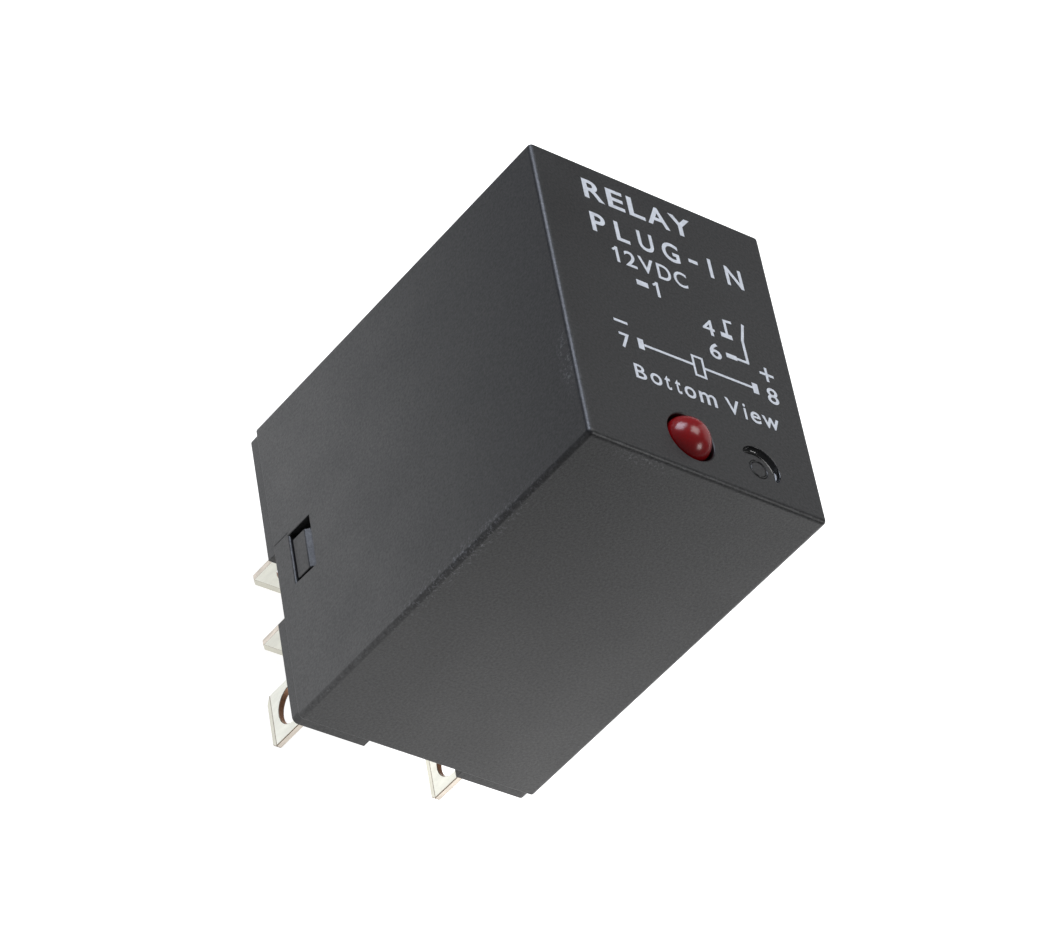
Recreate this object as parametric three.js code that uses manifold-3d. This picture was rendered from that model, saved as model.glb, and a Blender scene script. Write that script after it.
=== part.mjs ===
// Plug-in relay in a black moulded case: a semiconductor switch with a small mechanical
// contact across it, four flat blades below, a red indicator and a printed top face.
// Millimetres, +Z up. z = 0 is the plane of the feet, where the relay seats on its socket.
import * as THREE from "three";
import { RoundedBoxGeometry } from "three/addons/geometries/RoundedBoxGeometry.js";
import { mergeVertices } from "three/addons/utils/BufferGeometryUtils.js";
import Module from "manifold-3d";

const wasm = await Module();
wasm.setup();

// Case
const CASE_X = 21.5;
const CASE_Y = 28.0;
const CASE_LOW = 1.0;
const CASE_TOP = 36.0;
const EDGE_R = 0.4;
const WALL = 0.9;
const ROOF = 1.0;
const WINDOW = { y0: -2.85, y1: 1.9, z0: 2.95, z1: 5.53 };
const LED_X = -1.05;
const LED_Y = -10.55;
const LED_HOLE_R = 2.05;
const LED_R = 1.87;
const LED_LOW = 30.6;
const LED_APEX = 37.15;
const CRESCENT = { x: 5.0, y: -11.1, r: 1.6, half: 0.48, from: -26, to: 136, deep: 0.45 };

// Base
const FOOT_INSET = { x: 0.15, y: 0.3 };
const FOOT_H = 1.0;
const SIDE_NOTCH = { y0: -4.5, y1: 1.6, deep: 2.2 };
const END_NOTCH = { x0: -4.2, x1: 4.2, deep: 2.2 };
const PLUG_X = 19.4;
const PLUG_Y = 25.9;
const PLUG_TOP = 5.0;
const EAR = { thick: 1.1, y0: -6.0, y1: 5.0, top: 10.5 };
const LATCH = { y0: -2.35, y1: 1.35, low: 3.05, crease: 4.5, high: 5.47, reach: 10.55, pivotZ: 8.3 };
const LATCH_THICK = 0.8;
const LATCH_GAP = 0.3;

// Blades
const BLADE_W = 4.75;
const BLADE_T = 0.5;
const BLADE_LEN = 6.4;
const BEVEL = 0.6;
const TIP_CORNER = 0.5;
const EYE_W = 3.2;
const EYE_LOW = -5.05;
const EYE_HIGH = -1.25;
const SHANK_T = 0.7;
const TAB_W = 2.4;
const TAB_TOP = 9.4;
const BLADES = {
  terminal_4: { x: -5.0, y: 5.6, turn: 0 },
  terminal_6: { x: -5.0, y: -0.75, turn: 0 },
  terminal_7: { x: 7.3, y: -8.3, turn: 90 },
  terminal_8: { x: -7.3, y: -8.3, turn: 90 },
};

// Boards and barrier
const BOARD_X = 16.8;
const BOARD_LOW = 7.0;
const BOARD_T = 1.0;
const CONTROL = { y0: -6.6, y1: -5.6, z0: 8.3, z1: 33.6 };
const BARRIER = { y0: -3.2, y1: -2.6, z0: 8.3, z1: 24.9 };

// Electromagnet
const COIL = { x: -1.5, y: 2.0 };
const YOKE = { x0: -7.6, y0: -0.4, y1: 4.4, low: 10.0, thick: 1.2, top: 23.1 };
const CORE_R = 1.6;
const POLE_TOP = 22.65;
const ARMATURE = { x0: -8.4, x1: 3.2, low: 23.2, thick: 1.0 };
const SPRING_T = 0.25;
const CONTACT_X = 5.5;
const CONTACT_R = 1.3;
const CONTACT_GAP = 0.8;

// Semiconductor switch on its heat spreader
const SPREADER = { y0: 11.5, y1: 12.7, z0: 8.3, z1: 33.0, foot: 3.4 };
const PAD_T = 0.3;
const TAB_T = 1.3;
const SCREW_Z = 25.6;

const MATERIALS = {
  case: [0x2a2a2b, 0.42, 0],
  base: [0x262627, 0.5, 0],
  blade: [0xd9d6cc, 0.3, 1],
  copper: [0xb87348, 0.35, 1],
  steel: [0x9a9c9e, 0.35, 1],
  silver: [0xe4e2dc, 0.25, 1],
  aluminium: [0xb9bcc0, 0.4, 1],
  board: [0x2f6b3c, 0.5, 0],
  red: [0x7a1518, 0.15, 0],
  epoxy: [0x1b1b1d, 0.45, 0],
  bobbin: [0xe9e4d6, 0.55, 0],
  blue: [0x2e5c9a, 0.5, 0],
  tan: [0xc9a779, 0.6, 0],
  yellow: [0xd7b13a, 0.5, 0],
  grey: [0xa7a9a6, 0.7, 0],
  ivory: [0xe6e3da, 0.6, 0],
};

// A closed geometry as a solid for joining and cutting.
function solid(geometry) {
  const bare = geometry.clone();
  bare.deleteAttribute("normal");
  bare.deleteAttribute("uv");
  const merged = mergeVertices(bare, 1e-4);
  return new wasm.Manifold(
    new wasm.Mesh({
      numProp: 3,
      vertProperties: new Float32Array(merged.attributes.position.array),
      triVerts: new Uint32Array(merged.index.array),
    }),
  );
}

// A solid back as a geometry.
function surface(made) {
  const mesh = made.getMesh();
  const geometry = new THREE.BufferGeometry();
  const points = new THREE.BufferAttribute(new Float32Array(mesh.vertProperties), 3);
  geometry.setAttribute("position", points);
  geometry.setIndex(new THREE.BufferAttribute(new Uint32Array(mesh.triVerts), 1));
  const flat = geometry.toNonIndexed();
  flat.computeVertexNormals();
  return flat;
}

function join(...geometries) {
  return surface(geometries.map(solid).reduce((a, b) => a.add(b)));
}

function cut(body, ...tools) {
  return surface(tools.map(solid).reduce((a, b) => a.subtract(b), solid(body)));
}

function box(x0, x1, y0, y1, z0, z1) {
  const geometry = new THREE.BoxGeometry(x1 - x0, y1 - y0, z1 - z0);
  return geometry.translate((x0 + x1) / 2, (y0 + y1) / 2, (z0 + z1) / 2);
}

// A rectangle with round corners, centred on the origin.
function roundedRectangle(width, depth, r) {
  const [x, y] = [width / 2 - r, depth / 2 - r];
  const shape = new THREE.Shape();
  shape.absarc(x, y, r, 0, Math.PI / 2);
  shape.absarc(-x, y, r, Math.PI / 2, Math.PI);
  shape.absarc(-x, -y, r, Math.PI, 1.5 * Math.PI);
  shape.absarc(x, -y, r, 1.5 * Math.PI, 2 * Math.PI);
  shape.closePath();
  return shape;
}

function prism(shape, z0, z1, curveSegments = 6) {
  const options = { depth: z1 - z0, bevelEnabled: false, curveSegments };
  return new THREE.ExtrudeGeometry(shape, options).translate(0, 0, z0);
}

// Points in the X-Z plane, extruded from y0 to y1.
function slab(points, y0, y1) {
  const shape = new THREE.Shape(points.map(([x, z]) => new THREE.Vector2(x, z)));
  const geometry = prism(shape, 0, y1 - y0);
  return geometry.rotateX(Math.PI / 2).translate(0, y1, 0);
}

// A round rod along Z.
function rod(x, y, r, z0, z1, sides = 24) {
  const geometry = new THREE.CylinderGeometry(r, r, z1 - z0, sides);
  return geometry.rotateX(Math.PI / 2).translate(x, y, (z0 + z1) / 2);
}

// A round rod along Y.
function crossRod(x, z, r, y0, y1, sides = 24) {
  return new THREE.CylinderGeometry(r, r, y1 - y0, sides).translate(x, (y0 + y1) / 2, z);
}

// A profile of [radius, z] pairs turned about the vertical through (x, y).
function turned(x, y, profile, sides = 28) {
  const points = profile.map(([r, z]) => new THREE.Vector2(r, z));
  return new THREE.LatheGeometry(points, sides).rotateX(Math.PI / 2).translate(x, y, 0);
}

function cover() {
  const tall = CASE_TOP - CASE_LOW + 4;
  const outer = new RoundedBoxGeometry(CASE_X, CASE_Y, tall, 4, EDGE_R);
  outer.translate(0, 0, CASE_TOP - tall / 2);
  const [hx, hy] = [CASE_X / 2 - WALL, CASE_Y / 2 - WALL];
  const w = WINDOW;
  const c = CRESCENT;
  const arc = (sign, i) => {
    const u = sign * Math.cos((Math.PI * i) / 20);
    const a = THREE.MathUtils.degToRad((c.from + c.to) / 2 + (u * (c.to - c.from)) / 2);
    const r = c.r + sign * c.half * Math.sqrt(1 - u * u);
    return new THREE.Vector2(c.x + r * Math.cos(a), c.y + r * Math.sin(a));
  };
  const steps = [...Array(20).keys()];
  const ring = new THREE.Shape([...steps.map((i) => arc(-1, i)), ...steps.map((i) => arc(1, i))]);
  return cut(
    outer,
    box(-20, 20, -20, 20, -10, CASE_LOW),
    box(-hx, hx, -hy, hy, -5, CASE_TOP - ROOF),
    box(-20, -hx + 0.5, w.y0, w.y1, w.z0, w.z1),
    box(hx - 0.5, 20, w.y0, w.y1, w.z0, w.z1),
    rod(LED_X, LED_Y, LED_HOLE_R, CASE_TOP - 3, CASE_TOP + 1, 40),
    prism(ring, CASE_TOP - c.deep, CASE_TOP + 1, 16),
  );
}

function base() {
  const feet = roundedRectangle(CASE_X - 2 * FOOT_INSET.x, CASE_Y - 2 * FOOT_INSET.y, 0.5);
  const [px, py] = [PLUG_X / 2, PLUG_Y / 2];
  const plug = prism(roundedRectangle(PLUG_X, PLUG_Y, 0.6), FOOT_H - 0.01, PLUG_TOP);
  const ears = [-1, 1].map((side) => {
    const xs = [side * px, side * (px - EAR.thick)].sort((a, b) => a - b);
    return box(xs[0], xs[1], EAR.y0, EAR.y1, PLUG_TOP - 0.5, EAR.top);
  });
  const s = SIDE_NOTCH;
  const e = END_NOTCH;
  const [fx, fy] = [CASE_X / 2, CASE_Y / 2];
  const notches = [
    box(-20, -fx + s.deep, s.y0, s.y1, -1, FOOT_H),
    box(fx - s.deep, 20, s.y0, s.y1, -1, FOOT_H),
    box(e.x0, e.x1, -20, -fy + e.deep, -1, FOOT_H),
    box(e.x0, e.x1, fy - e.deep, 20, -1, FOOT_H),
  ];
  const pockets = [-1, 1].map((side) => {
    const xs = [side * 12, side * 7.65].sort((a, b) => a - b);
    const [y0, y1] = [LATCH.y0 - LATCH_GAP, LATCH.y1 + LATCH_GAP];
    return box(xs[0], xs[1], y0, y1, 1.9, LATCH.pivotZ + 0.55);
  });
  const slots = Object.values(BLADES).map(({ x, y, turn }) => {
    const [w, t] = [BLADE_W / 2 + 0.1, SHANK_T / 2 + 0.05];
    const [dx, dy] = turn ? [t, w] : [w, t];
    return box(x - dx, x + dx, y - dy, y + dy, -1, PLUG_TOP + 1);
  });
  const body = join(prism(feet, 0, FOOT_H), plug, ...ears);
  return cut(body, ...notches, ...pockets, ...slots);
}

// A hanging tongue with its hook at the free end. side is -1 on the left wall, 1 on the right.
function latch(side) {
  const back = PLUG_X / 2 - 0.05 - LATCH_THICK;
  const face = PLUG_X / 2 - 0.05;
  const l = LATCH;
  const profile = [
    [back, l.low - 0.5],
    [face, l.low - 0.5],
    [face, l.low],
    [l.reach, l.low],
    [l.reach, l.crease],
    [face, l.high],
    [face, l.pivotZ + 0.4],
    [back, l.pivotZ + 0.4],
  ];
  const geometry = slab(profile, l.y0, l.y1);
  return side > 0 ? geometry : surface(solid(geometry).mirror([1, 0, 0]));
}

// A blade below the base, a thicker shank inside it and a solder tab above it.
function blade({ x, y, turn }) {
  const [w, t] = [BLADE_W / 2, BLADE_T / 2];
  const outline = new THREE.Shape();
  outline.moveTo(-w, 0.3);
  outline.lineTo(-w, -BLADE_LEN + TIP_CORNER);
  outline.lineTo(-w + TIP_CORNER, -BLADE_LEN);
  outline.lineTo(w - TIP_CORNER, -BLADE_LEN);
  outline.lineTo(w, -BLADE_LEN + TIP_CORNER);
  outline.lineTo(w, 0.3);
  outline.closePath();
  const eye = new THREE.Path();
  const r = EYE_W / 2;
  eye.absarc(0, EYE_LOW + r, r, Math.PI, 2 * Math.PI, false);
  eye.absarc(0, EYE_HIGH - r, r, 0, Math.PI, false);
  eye.closePath();
  outline.holes.push(eye);
  const flat = prism(outline, -t, t, 10).rotateX(Math.PI / 2);
  const shank = box(-w, w, -SHANK_T / 2, SHANK_T / 2, 0, BOARD_LOW - 0.8);
  const tab = box(-TAB_W / 2, TAB_W / 2, -t, t, BOARD_LOW - 0.9, TAB_TOP);
  const wedge = (side) => {
    const corner = [
      [-BLADE_LEN - 0.01, side * 0.12],
      [-BLADE_LEN - 0.01, side * (t + 0.1)],
      [-BLADE_LEN + BEVEL, side * (t + 0.1)],
      [-BLADE_LEN + BEVEL, side * t],
    ];
    const points = corner.map(([z, dy]) => new THREE.Vector2(dy, z));
    if (side < 0) points.reverse();
    const geometry = prism(new THREE.Shape(points), -w - 1, w + 1);
    return geometry.applyMatrix4(new THREE.Matrix4().set(
      0, 0, 1, 0,
      1, 0, 0, 0,
      0, 1, 0, 0,
      0, 0, 0, 1,
    ));
  };
  const whole = join(flat, shank, tab);
  const geometry = cut(whole, wedge(1), wedge(-1));
  return geometry.rotateZ(THREE.MathUtils.degToRad(turn)).translate(x, y, 0);
}

function baseBoard() {
  const outline = roundedRectangle(BOARD_X, 24.8, 0.5);
  const slots = Object.values(BLADES).map(({ x, y, turn }) => {
    const [w, t] = [TAB_W / 2 + 0.15, BLADE_T / 2 + 0.1];
    const [dx, dy] = turn ? [t, w] : [w, t];
    return box(x - dx, x + dx, y - dy, y + dy, 0, 12);
  });
  return cut(prism(outline, BOARD_LOW, BOARD_LOW + BOARD_T), ...slots);
}

function indicatorDome() {
  const low = LED_LOW;
  const centre = LED_APEX - 0.95 * LED_R;
  const profile = [[0, low], [2.1, low], [2.1, low + 0.9], [LED_R, low + 0.9], [LED_R, centre]];
  for (let i = 1; i < 8; i += 1) {
    const a = (i / 8) * (Math.PI / 2);
    profile.push([LED_R * Math.cos(a), centre + 0.95 * LED_R * Math.sin(a)]);
  }
  profile.push([0, LED_APEX]);
  return turned(LED_X, LED_Y, profile, 32);
}

// A lead from under the indicator down and back to the control board.
function indicatorLead(side) {
  const x = LED_X + side * 1.27;
  const bend = 26.5;
  const down = box(x - 0.25, x + 0.25, LED_Y - 0.25, LED_Y + 0.25, bend, LED_LOW - 0.05);
  const back = box(x - 0.25, x + 0.25, LED_Y - 0.25, CONTROL.y0 - 0.05, bend, bend + 0.5);
  return join(down, back);
}

function spool() {
  return turned(COIL.x, COIL.y, [
    [1.75, 11.3],
    [4.2, 11.3],
    [4.2, 12.0],
    [2.5, 12.0],
    [2.5, 20.5],
    [4.2, 20.5],
    [4.2, 21.2],
    [1.75, 21.2],
    [1.75, 11.3],
  ]);
}

function winding() {
  return turned(COIL.x, COIL.y, [
    [2.55, 12.1],
    [3.85, 12.1],
    [3.95, 12.5],
    [3.95, 20.0],
    [3.85, 20.4],
    [2.55, 20.4],
    [2.55, 12.1],
  ], 32);
}

function core() {
  return turned(COIL.x, COIL.y, [
    [0, 10.1],
    [CORE_R, 10.1],
    [CORE_R, 21.5],
    [2.5, 21.5],
    [2.5, POLE_TOP - 0.2],
    [2.3, POLE_TOP],
    [0, POLE_TOP],
  ]);
}

function yoke() {
  const y = YOKE;
  const foot = box(y.x0, 3.0, y.y0, y.y1, y.low, y.low + y.thick);
  const arm = box(y.x0, y.x0 + y.thick, y.y0, y.y1, y.low, y.top);
  const hole = rod(COIL.x, COIL.y, CORE_R + 0.05, y.low - 1, y.low + 3);
  return cut(join(foot, arm), hole);
}

function relayBlock() {
  const pad = box(-8.0, 3.4, 0.0, 4.8, 8.1, 9.95);
  const relief = rod(COIL.x, COIL.y, 2.2, 9.2, 11);
  return cut(pad, relief);
}

function armature() {
  const a = ARMATURE;
  const plate = box(a.x0, a.x1, YOKE.y0 + 0.1, YOKE.y1 - 0.1, a.low, a.low + a.thick);
  const waist = [
    box(a.x0 - 1, YOKE.x0 - 0.05, YOKE.y0 - 1, YOKE.y0 + 1.0, a.low - 1, a.low + 2),
    box(a.x0 - 1, YOKE.x0 - 0.05, YOKE.y1 - 1.0, YOKE.y1 + 1, a.low - 1, a.low + 2),
  ];
  return cut(plate, ...waist);
}

// The leaf on the armature that carries the moving contact.
function contactSpring() {
  const low = ARMATURE.low + ARMATURE.thick + 0.02;
  const outline = new THREE.Shape();
  outline.moveTo(-5.6, 0.3);
  outline.lineTo(3.4, 0.3);
  outline.lineTo(4.2, 0.6);
  outline.absarc(CONTACT_X, COIL.y, 1.6, -Math.PI / 2, Math.PI / 2, false);
  outline.lineTo(4.2, 3.4);
  outline.lineTo(3.4, 3.7);
  outline.lineTo(-5.6, 3.7);
  outline.closePath();
  return prism(outline, low, low + SPRING_T, 10);
}

function springRivet(x) {
  const low = ARMATURE.low + ARMATURE.thick + SPRING_T + 0.04;
  return turned(x, COIL.y, [[0, low], [0.8, low], [0.7, low + 0.3], [0.4, low + 0.45], [0, low + 0.5]], 16);
}

const MOVING_CONTACT_TOP = ARMATURE.low + ARMATURE.thick;
const MOVING_CONTACT_LOW = MOVING_CONTACT_TOP - 0.85;
const FIXED_CONTACT_TOP = MOVING_CONTACT_LOW - CONTACT_GAP;

function movingContact() {
  const [low, high] = [MOVING_CONTACT_LOW, MOVING_CONTACT_TOP];
  const profile = [[0, low], [0.9, low + 0.05], [CONTACT_R, low + 0.3], [CONTACT_R, high], [0, high]];
  return turned(CONTACT_X, COIL.y, profile, 20);
}

function fixedContact() {
  const high = FIXED_CONTACT_TOP;
  const low = high - 0.8;
  const profile = [[0, low], [CONTACT_R, low], [CONTACT_R, high - 0.3], [0.9, high - 0.05], [0, high]];
  return turned(CONTACT_X, COIL.y, profile, 20);
}

function fixedPost() {
  const high = FIXED_CONTACT_TOP - 0.82;
  const stem = box(7.2, 7.8, 0.6, 3.4, 8.1, high);
  const shelf = box(3.9, 7.8, 0.6, 3.4, high - 0.6, high);
  return join(stem, shelf);
}

// A leaf from the yoke's back over the armature's tail, which it presses open.
function returnLeaf() {
  const x = YOKE.x0;
  const over = ARMATURE.low + ARMATURE.thick + 0.14;
  const upright = box(x - 1.05, x - 0.85, 1.1, 2.9, 17.0, over + 0.2);
  const fixing = box(x - 1.05, x - 0.03, 1.1, 2.9, 17.0, 18.2);
  const press = box(x - 1.05, x - 0.1, 1.1, 2.9, over, over + 0.2);
  return join(upright, fixing, press);
}

function spreader() {
  const s = SPREADER;
  const wall = box(-8.3, 8.3, s.y0, s.y1, s.z0, s.z1);
  const foot = box(-8.3, 8.3, s.y1 - s.foot, s.y1, s.z0, s.z0 + 1.2);
  return cut(join(wall, foot), crossRod(0, SCREW_Z, 1.6, 5, 20), box(-5.6, 5.6, 8, s.y0, 0, 12));
}

function thermalPad() {
  const y1 = SPREADER.y0;
  const sheet = box(-6.0, 6.0, y1 - PAD_T + 0.02, y1 - 0.02, 12.6, 29.4);
  return cut(sheet, crossRod(0, SCREW_Z, 1.8, 5, 20));
}

function switchTab() {
  const y1 = SPREADER.y0 - PAD_T;
  const outline = [[-5.1, 13.5], [5.1, 13.5], [5.1, 27.7], [4.3, 28.5], [-4.3, 28.5], [-5.1, 27.7]];
  return cut(slab(outline, y1 - TAB_T, y1), crossRod(0, SCREW_Z, 1.8, 5, 20));
}

function switchBody() {
  const y1 = SPREADER.y0 - PAD_T - TAB_T - 0.02;
  const block = box(-5.1, 5.1, y1 - 2.9, y1, 13.5, 22.5);
  const chamfer = box(-6, 6, -1.2, 1.2, -1.2, 1.2).rotateX(Math.PI / 4).translate(0, y1 - 3.4, 23);
  return cut(block, chamfer);
}

function switchLead(x) {
  const y = 8.5;
  const wide = box(x - 0.6, x + 0.6, y - 0.25, y + 0.25, 11.6, 13.45);
  const thin = box(x - 0.38, x + 0.38, y - 0.25, y + 0.25, 8.1, 11.7);
  return join(wide, thin);
}

function screw() {
  const y = SPREADER.y0 - PAD_T - TAB_T;
  const shank = crossRod(0, SCREW_Z, 1.45, y - 0.5, 12.7);
  const head = crossRod(0, SCREW_Z, 2.7, y - 1.9, y - 0.03, 28);
  const slots = [box(-1.7, 1.7, y - 3, y - 1.0, SCREW_Z - 0.3, SCREW_Z + 0.3),
    box(-0.3, 0.3, y - 3, y - 1.0, SCREW_Z - 1.7, SCREW_Z + 1.7)];
  return cut(join(shank, head), ...slots);
}

// An axial part standing upright: a waisted body with a wire out of each end.
function axial(x, y, r, z0, z1, wire) {
  const [m, n] = [0.5, 0.25];
  return turned(x, y, [
    [0, z0 - wire],
    [0.3, z0 - wire],
    [0.3, z0],
    [r - n, z0],
    [r, z0 + m],
    [r, z0 + 3 * m],
    [r - n, z0 + 4 * m],
    [r - n, z1 - 4 * m],
    [r, z1 - 3 * m],
    [r, z1 - m],
    [r - n, z1],
    [0.3, z1],
    [0.3, z1 + 0.9],
    [0, z1 + 0.9],
  ], 20);
}

function driveTransistor() {
  const shape = new THREE.Shape();
  shape.moveTo(-2.0, 1.1);
  shape.absarc(0, 0, 2.3, Math.PI + 0.5, 2 * Math.PI - 0.5, false);
  shape.lineTo(2.0, 1.1);
  shape.closePath();
  return prism(shape, 0, 4.6, 12).translate(4.2, -8.6, 22.2);
}

function snubberCapacitor() {
  return new RoundedBoxGeometry(11.8, 6.0, 7.8, 2, 0.5).translate(-2.2, -2.3, 29.6);
}

function surgeDisc() {
  const disc = turned(0, 0, [[0, -1.7], [3.6, -1.7], [4.2, -1.1], [4.2, 1.1], [3.6, 1.7], [0, 1.7]], 28);
  return disc.rotateY(Math.PI / 2).translate(6.3, -1.0, 29.6);
}

// A flat strap on the base board between two points at the height of its top.
function strap(a, b, turnX) {
  const z = BOARD_LOW + BOARD_T + 0.05;
  const [x0, x1] = [Math.min(a[0], turnX), Math.max(a[0], turnX)];
  const first = box(x0 - 0.5, x1 + 0.5, a[1] - 0.5, a[1] + 0.5, z, z + 0.4);
  const [y0, y1] = [Math.min(a[1], b[1]), Math.max(a[1], b[1])];
  const second = box(turnX - 0.5, turnX + 0.5, y0 - 0.5, y1 + 0.5, z, z + 0.4);
  return join(first, second);
}

// An L pin from the base board up into the control board's lower edge.
function linkPin(x) {
  const post = box(x - 0.3, x + 0.3, -5.4, -4.8, 8.1, 10.4);
  const foot = box(x - 0.3, x + 0.3, -5.55, -4.8, 9.8, 10.4);
  return join(post, foot);
}

const relay = new THREE.Group();

function add(name, geometry, material) {
  const [color, roughness, metalness] = MATERIALS[material];
  const look = new THREE.MeshStandardMaterial({ color, roughness, metalness });
  const mesh = new THREE.Mesh(geometry, look);
  mesh.name = name;
  relay.add(mesh);
}

add("cover", cover(), "case");
add("base", base(), "base");
add("latch_left", latch(-1), "base");
add("latch_right", latch(1), "base");
for (const [name, place] of Object.entries(BLADES)) add(name, blade(place), "blade");
add("base_board", baseBoard(), "board");
add("control_board", box(-8.4, 8.4, CONTROL.y0, CONTROL.y1, CONTROL.z0, CONTROL.z1), "board");
add("isolation_barrier", box(-8.4, 8.4, BARRIER.y0, BARRIER.y1, BARRIER.z0, BARRIER.z1), "ivory");
add("indicator_dome", indicatorDome(), "red");
add("indicator_lead_left", indicatorLead(-1), "silver");
add("indicator_lead_right", indicatorLead(1), "silver");
add("optocoupler", box(0.4, 6.8, -10.2, -6.9, 12.6, 20.0), "epoxy");
add("input_resistor", axial(-6.2, -8.4, 1.25, 12.5, 18.8, 1.2), "tan");
add("protection_diode", axial(-2.6, -8.3, 1.15, 12.5, 17.0, 1.2), "epoxy");
add("input_capacitor", turned(-5.6, -9.6, [[0, 21.5], [2.4, 21.5], [2.5, 21.8], [2.5, 28.2],
  [2.3, 28.5], [0, 28.5]], 24), "blue");
add("drive_transistor", driveTransistor(), "epoxy");
add("relay_block", relayBlock(), "ivory");
add("yoke", yoke(), "steel");
add("core", core(), "steel");
add("bobbin", spool(), "bobbin");
add("winding", winding(), "copper");
add("armature", armature(), "steel");
add("contact_spring", contactSpring(), "copper");
add("spring_rivet_left", springRivet(-3.6), "silver");
add("spring_rivet_right", springRivet(0.4), "silver");
add("moving_contact", movingContact(), "silver");
add("fixed_contact", fixedContact(), "silver");
add("fixed_contact_post", fixedPost(), "copper");
add("return_leaf", returnLeaf(), "silver");
add("heat_spreader", spreader(), "aluminium");
add("thermal_pad", thermalPad(), "grey");
add("switch_tab", switchTab(), "silver");
add("switch_body", switchBody(), "epoxy");
add("switch_lead_left", switchLead(-2.54), "silver");
add("switch_lead_middle", switchLead(0), "silver");
add("switch_lead_right", switchLead(2.54), "silver");
add("clamp_screw", screw(), "steel");
add("snubber_capacitor", snubberCapacitor(), "yellow");
add("snubber_resistor", axial(6.55, -0.95, 1.45, 10.2, 17.6, 1.8), "grey");
add("surge_disc", surgeDisc(), "blue");
add("strap_4", strap([-5.0, 7.0], [0, 8.0], -3.8), "copper");
add("strap_6", strap([-5.0, -1.7], [0, -1.7], 2.6), "copper");
add("link_pin_left", linkPin(-6), "silver");
add("link_pin_middle", linkPin(0), "silver");
add("link_pin_right", linkPin(6), "silver");

export default relay;
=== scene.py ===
"""Looks of a plug-in relay in a black moulded case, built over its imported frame.

Every piece is in metres in the frame's own axes: +Z out of the socket to the printed
face, +X to the right of the printing, +Y to its top.
"""

import math

import bmesh
import bpy
import numpy as np
from bpy.props import FloatProperty, FloatVectorProperty, PointerProperty
from mathutils import Matrix, Vector


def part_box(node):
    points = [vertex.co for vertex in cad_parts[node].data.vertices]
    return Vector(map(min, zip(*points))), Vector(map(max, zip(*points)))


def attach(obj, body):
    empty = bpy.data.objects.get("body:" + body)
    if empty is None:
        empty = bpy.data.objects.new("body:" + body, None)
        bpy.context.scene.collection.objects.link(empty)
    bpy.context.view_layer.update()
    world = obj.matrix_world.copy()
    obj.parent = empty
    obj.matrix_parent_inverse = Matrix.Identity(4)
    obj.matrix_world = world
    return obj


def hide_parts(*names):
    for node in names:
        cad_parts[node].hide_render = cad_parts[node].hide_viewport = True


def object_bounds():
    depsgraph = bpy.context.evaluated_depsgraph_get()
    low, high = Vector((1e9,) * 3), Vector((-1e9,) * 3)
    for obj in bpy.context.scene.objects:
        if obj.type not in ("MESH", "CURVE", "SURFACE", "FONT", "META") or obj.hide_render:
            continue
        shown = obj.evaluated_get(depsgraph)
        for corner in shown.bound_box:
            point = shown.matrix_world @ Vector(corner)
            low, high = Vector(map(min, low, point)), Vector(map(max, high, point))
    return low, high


bl_info = {
    "name": "Plug-in relay",
    "version": (1, 0, 0),
    "blender": (4, 5, 0),
    "location": "View3D > Sidebar > Relay",
    "description": "Builds the looks of a black plug-in relay over its frame",
    "category": "Object",
}

MM = 0.001
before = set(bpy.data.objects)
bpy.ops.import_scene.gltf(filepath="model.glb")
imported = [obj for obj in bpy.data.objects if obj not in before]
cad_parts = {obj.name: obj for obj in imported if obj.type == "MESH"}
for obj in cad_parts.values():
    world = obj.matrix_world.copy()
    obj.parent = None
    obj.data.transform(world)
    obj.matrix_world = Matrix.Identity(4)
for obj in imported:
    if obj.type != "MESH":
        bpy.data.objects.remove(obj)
CAD_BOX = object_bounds()
BASE_BODY = "relay_base"

# The case's outer faces, read from the frame, in millimetres.
COVER_LOW, COVER_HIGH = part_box("cover")
HALF_X, HALF_Y, CASE_TOP = (float(v) / MM for v in COVER_HIGH)
CASE_LOW = float(COVER_LOW[2]) / MM

# Places on the printed face, in millimetres.
LAMP_CENTRE = (-1.05, -10.55)
MARK_CENTRE = (5.0, -11.1)

# A blade's eye lies between these heights, and this far inside the blade's edges.
EYE_LOW, EYE_HIGH, EYE_INSET = -5.3, -0.5, 0.6


# ---------------------------------------------------------------- colours and nodes


def linear(code):
    """A colour written as sRGB hex, turned to linear red, green and blue."""
    parts = [int(code[i : i + 2], 16) / 255 for i in (1, 3, 5)]
    return tuple(c / 12.92 if c <= 0.04045 else ((c + 0.055) / 1.055) ** 2.4 for c in parts)


def add(tree, kind, values=None, **settings):
    """Adds one node. A value that is a socket is linked, and any other is set on the input."""
    node = tree.nodes.new(kind)
    for key, value in settings.items():
        setattr(node, key, value)
    for key, value in (values or {}).items():
        if isinstance(value, bpy.types.NodeSocket):
            tree.links.new(value, node.inputs[key])
        else:
            node.inputs[key].default_value = value
    return node


def start(name):
    """An empty material with its object coordinates: the material, its tree and the socket."""
    made = bpy.data.materials.new(name)
    made.use_nodes = True
    made.node_tree.nodes.clear()
    coords = add(made.node_tree, "ShaderNodeTexCoord")
    return made, made.node_tree, coords.outputs["Object"]


def close(tree, shader):
    """Joins a shader to the material's output."""
    add(tree, "ShaderNodeOutputMaterial", {"Surface": shader.outputs[0]})


def tone(colour, factor):
    """The same colour brighter or darker, with alpha."""
    return tuple(min(1.0, c * factor) for c in colour[:3]) + (1.0,)


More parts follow.
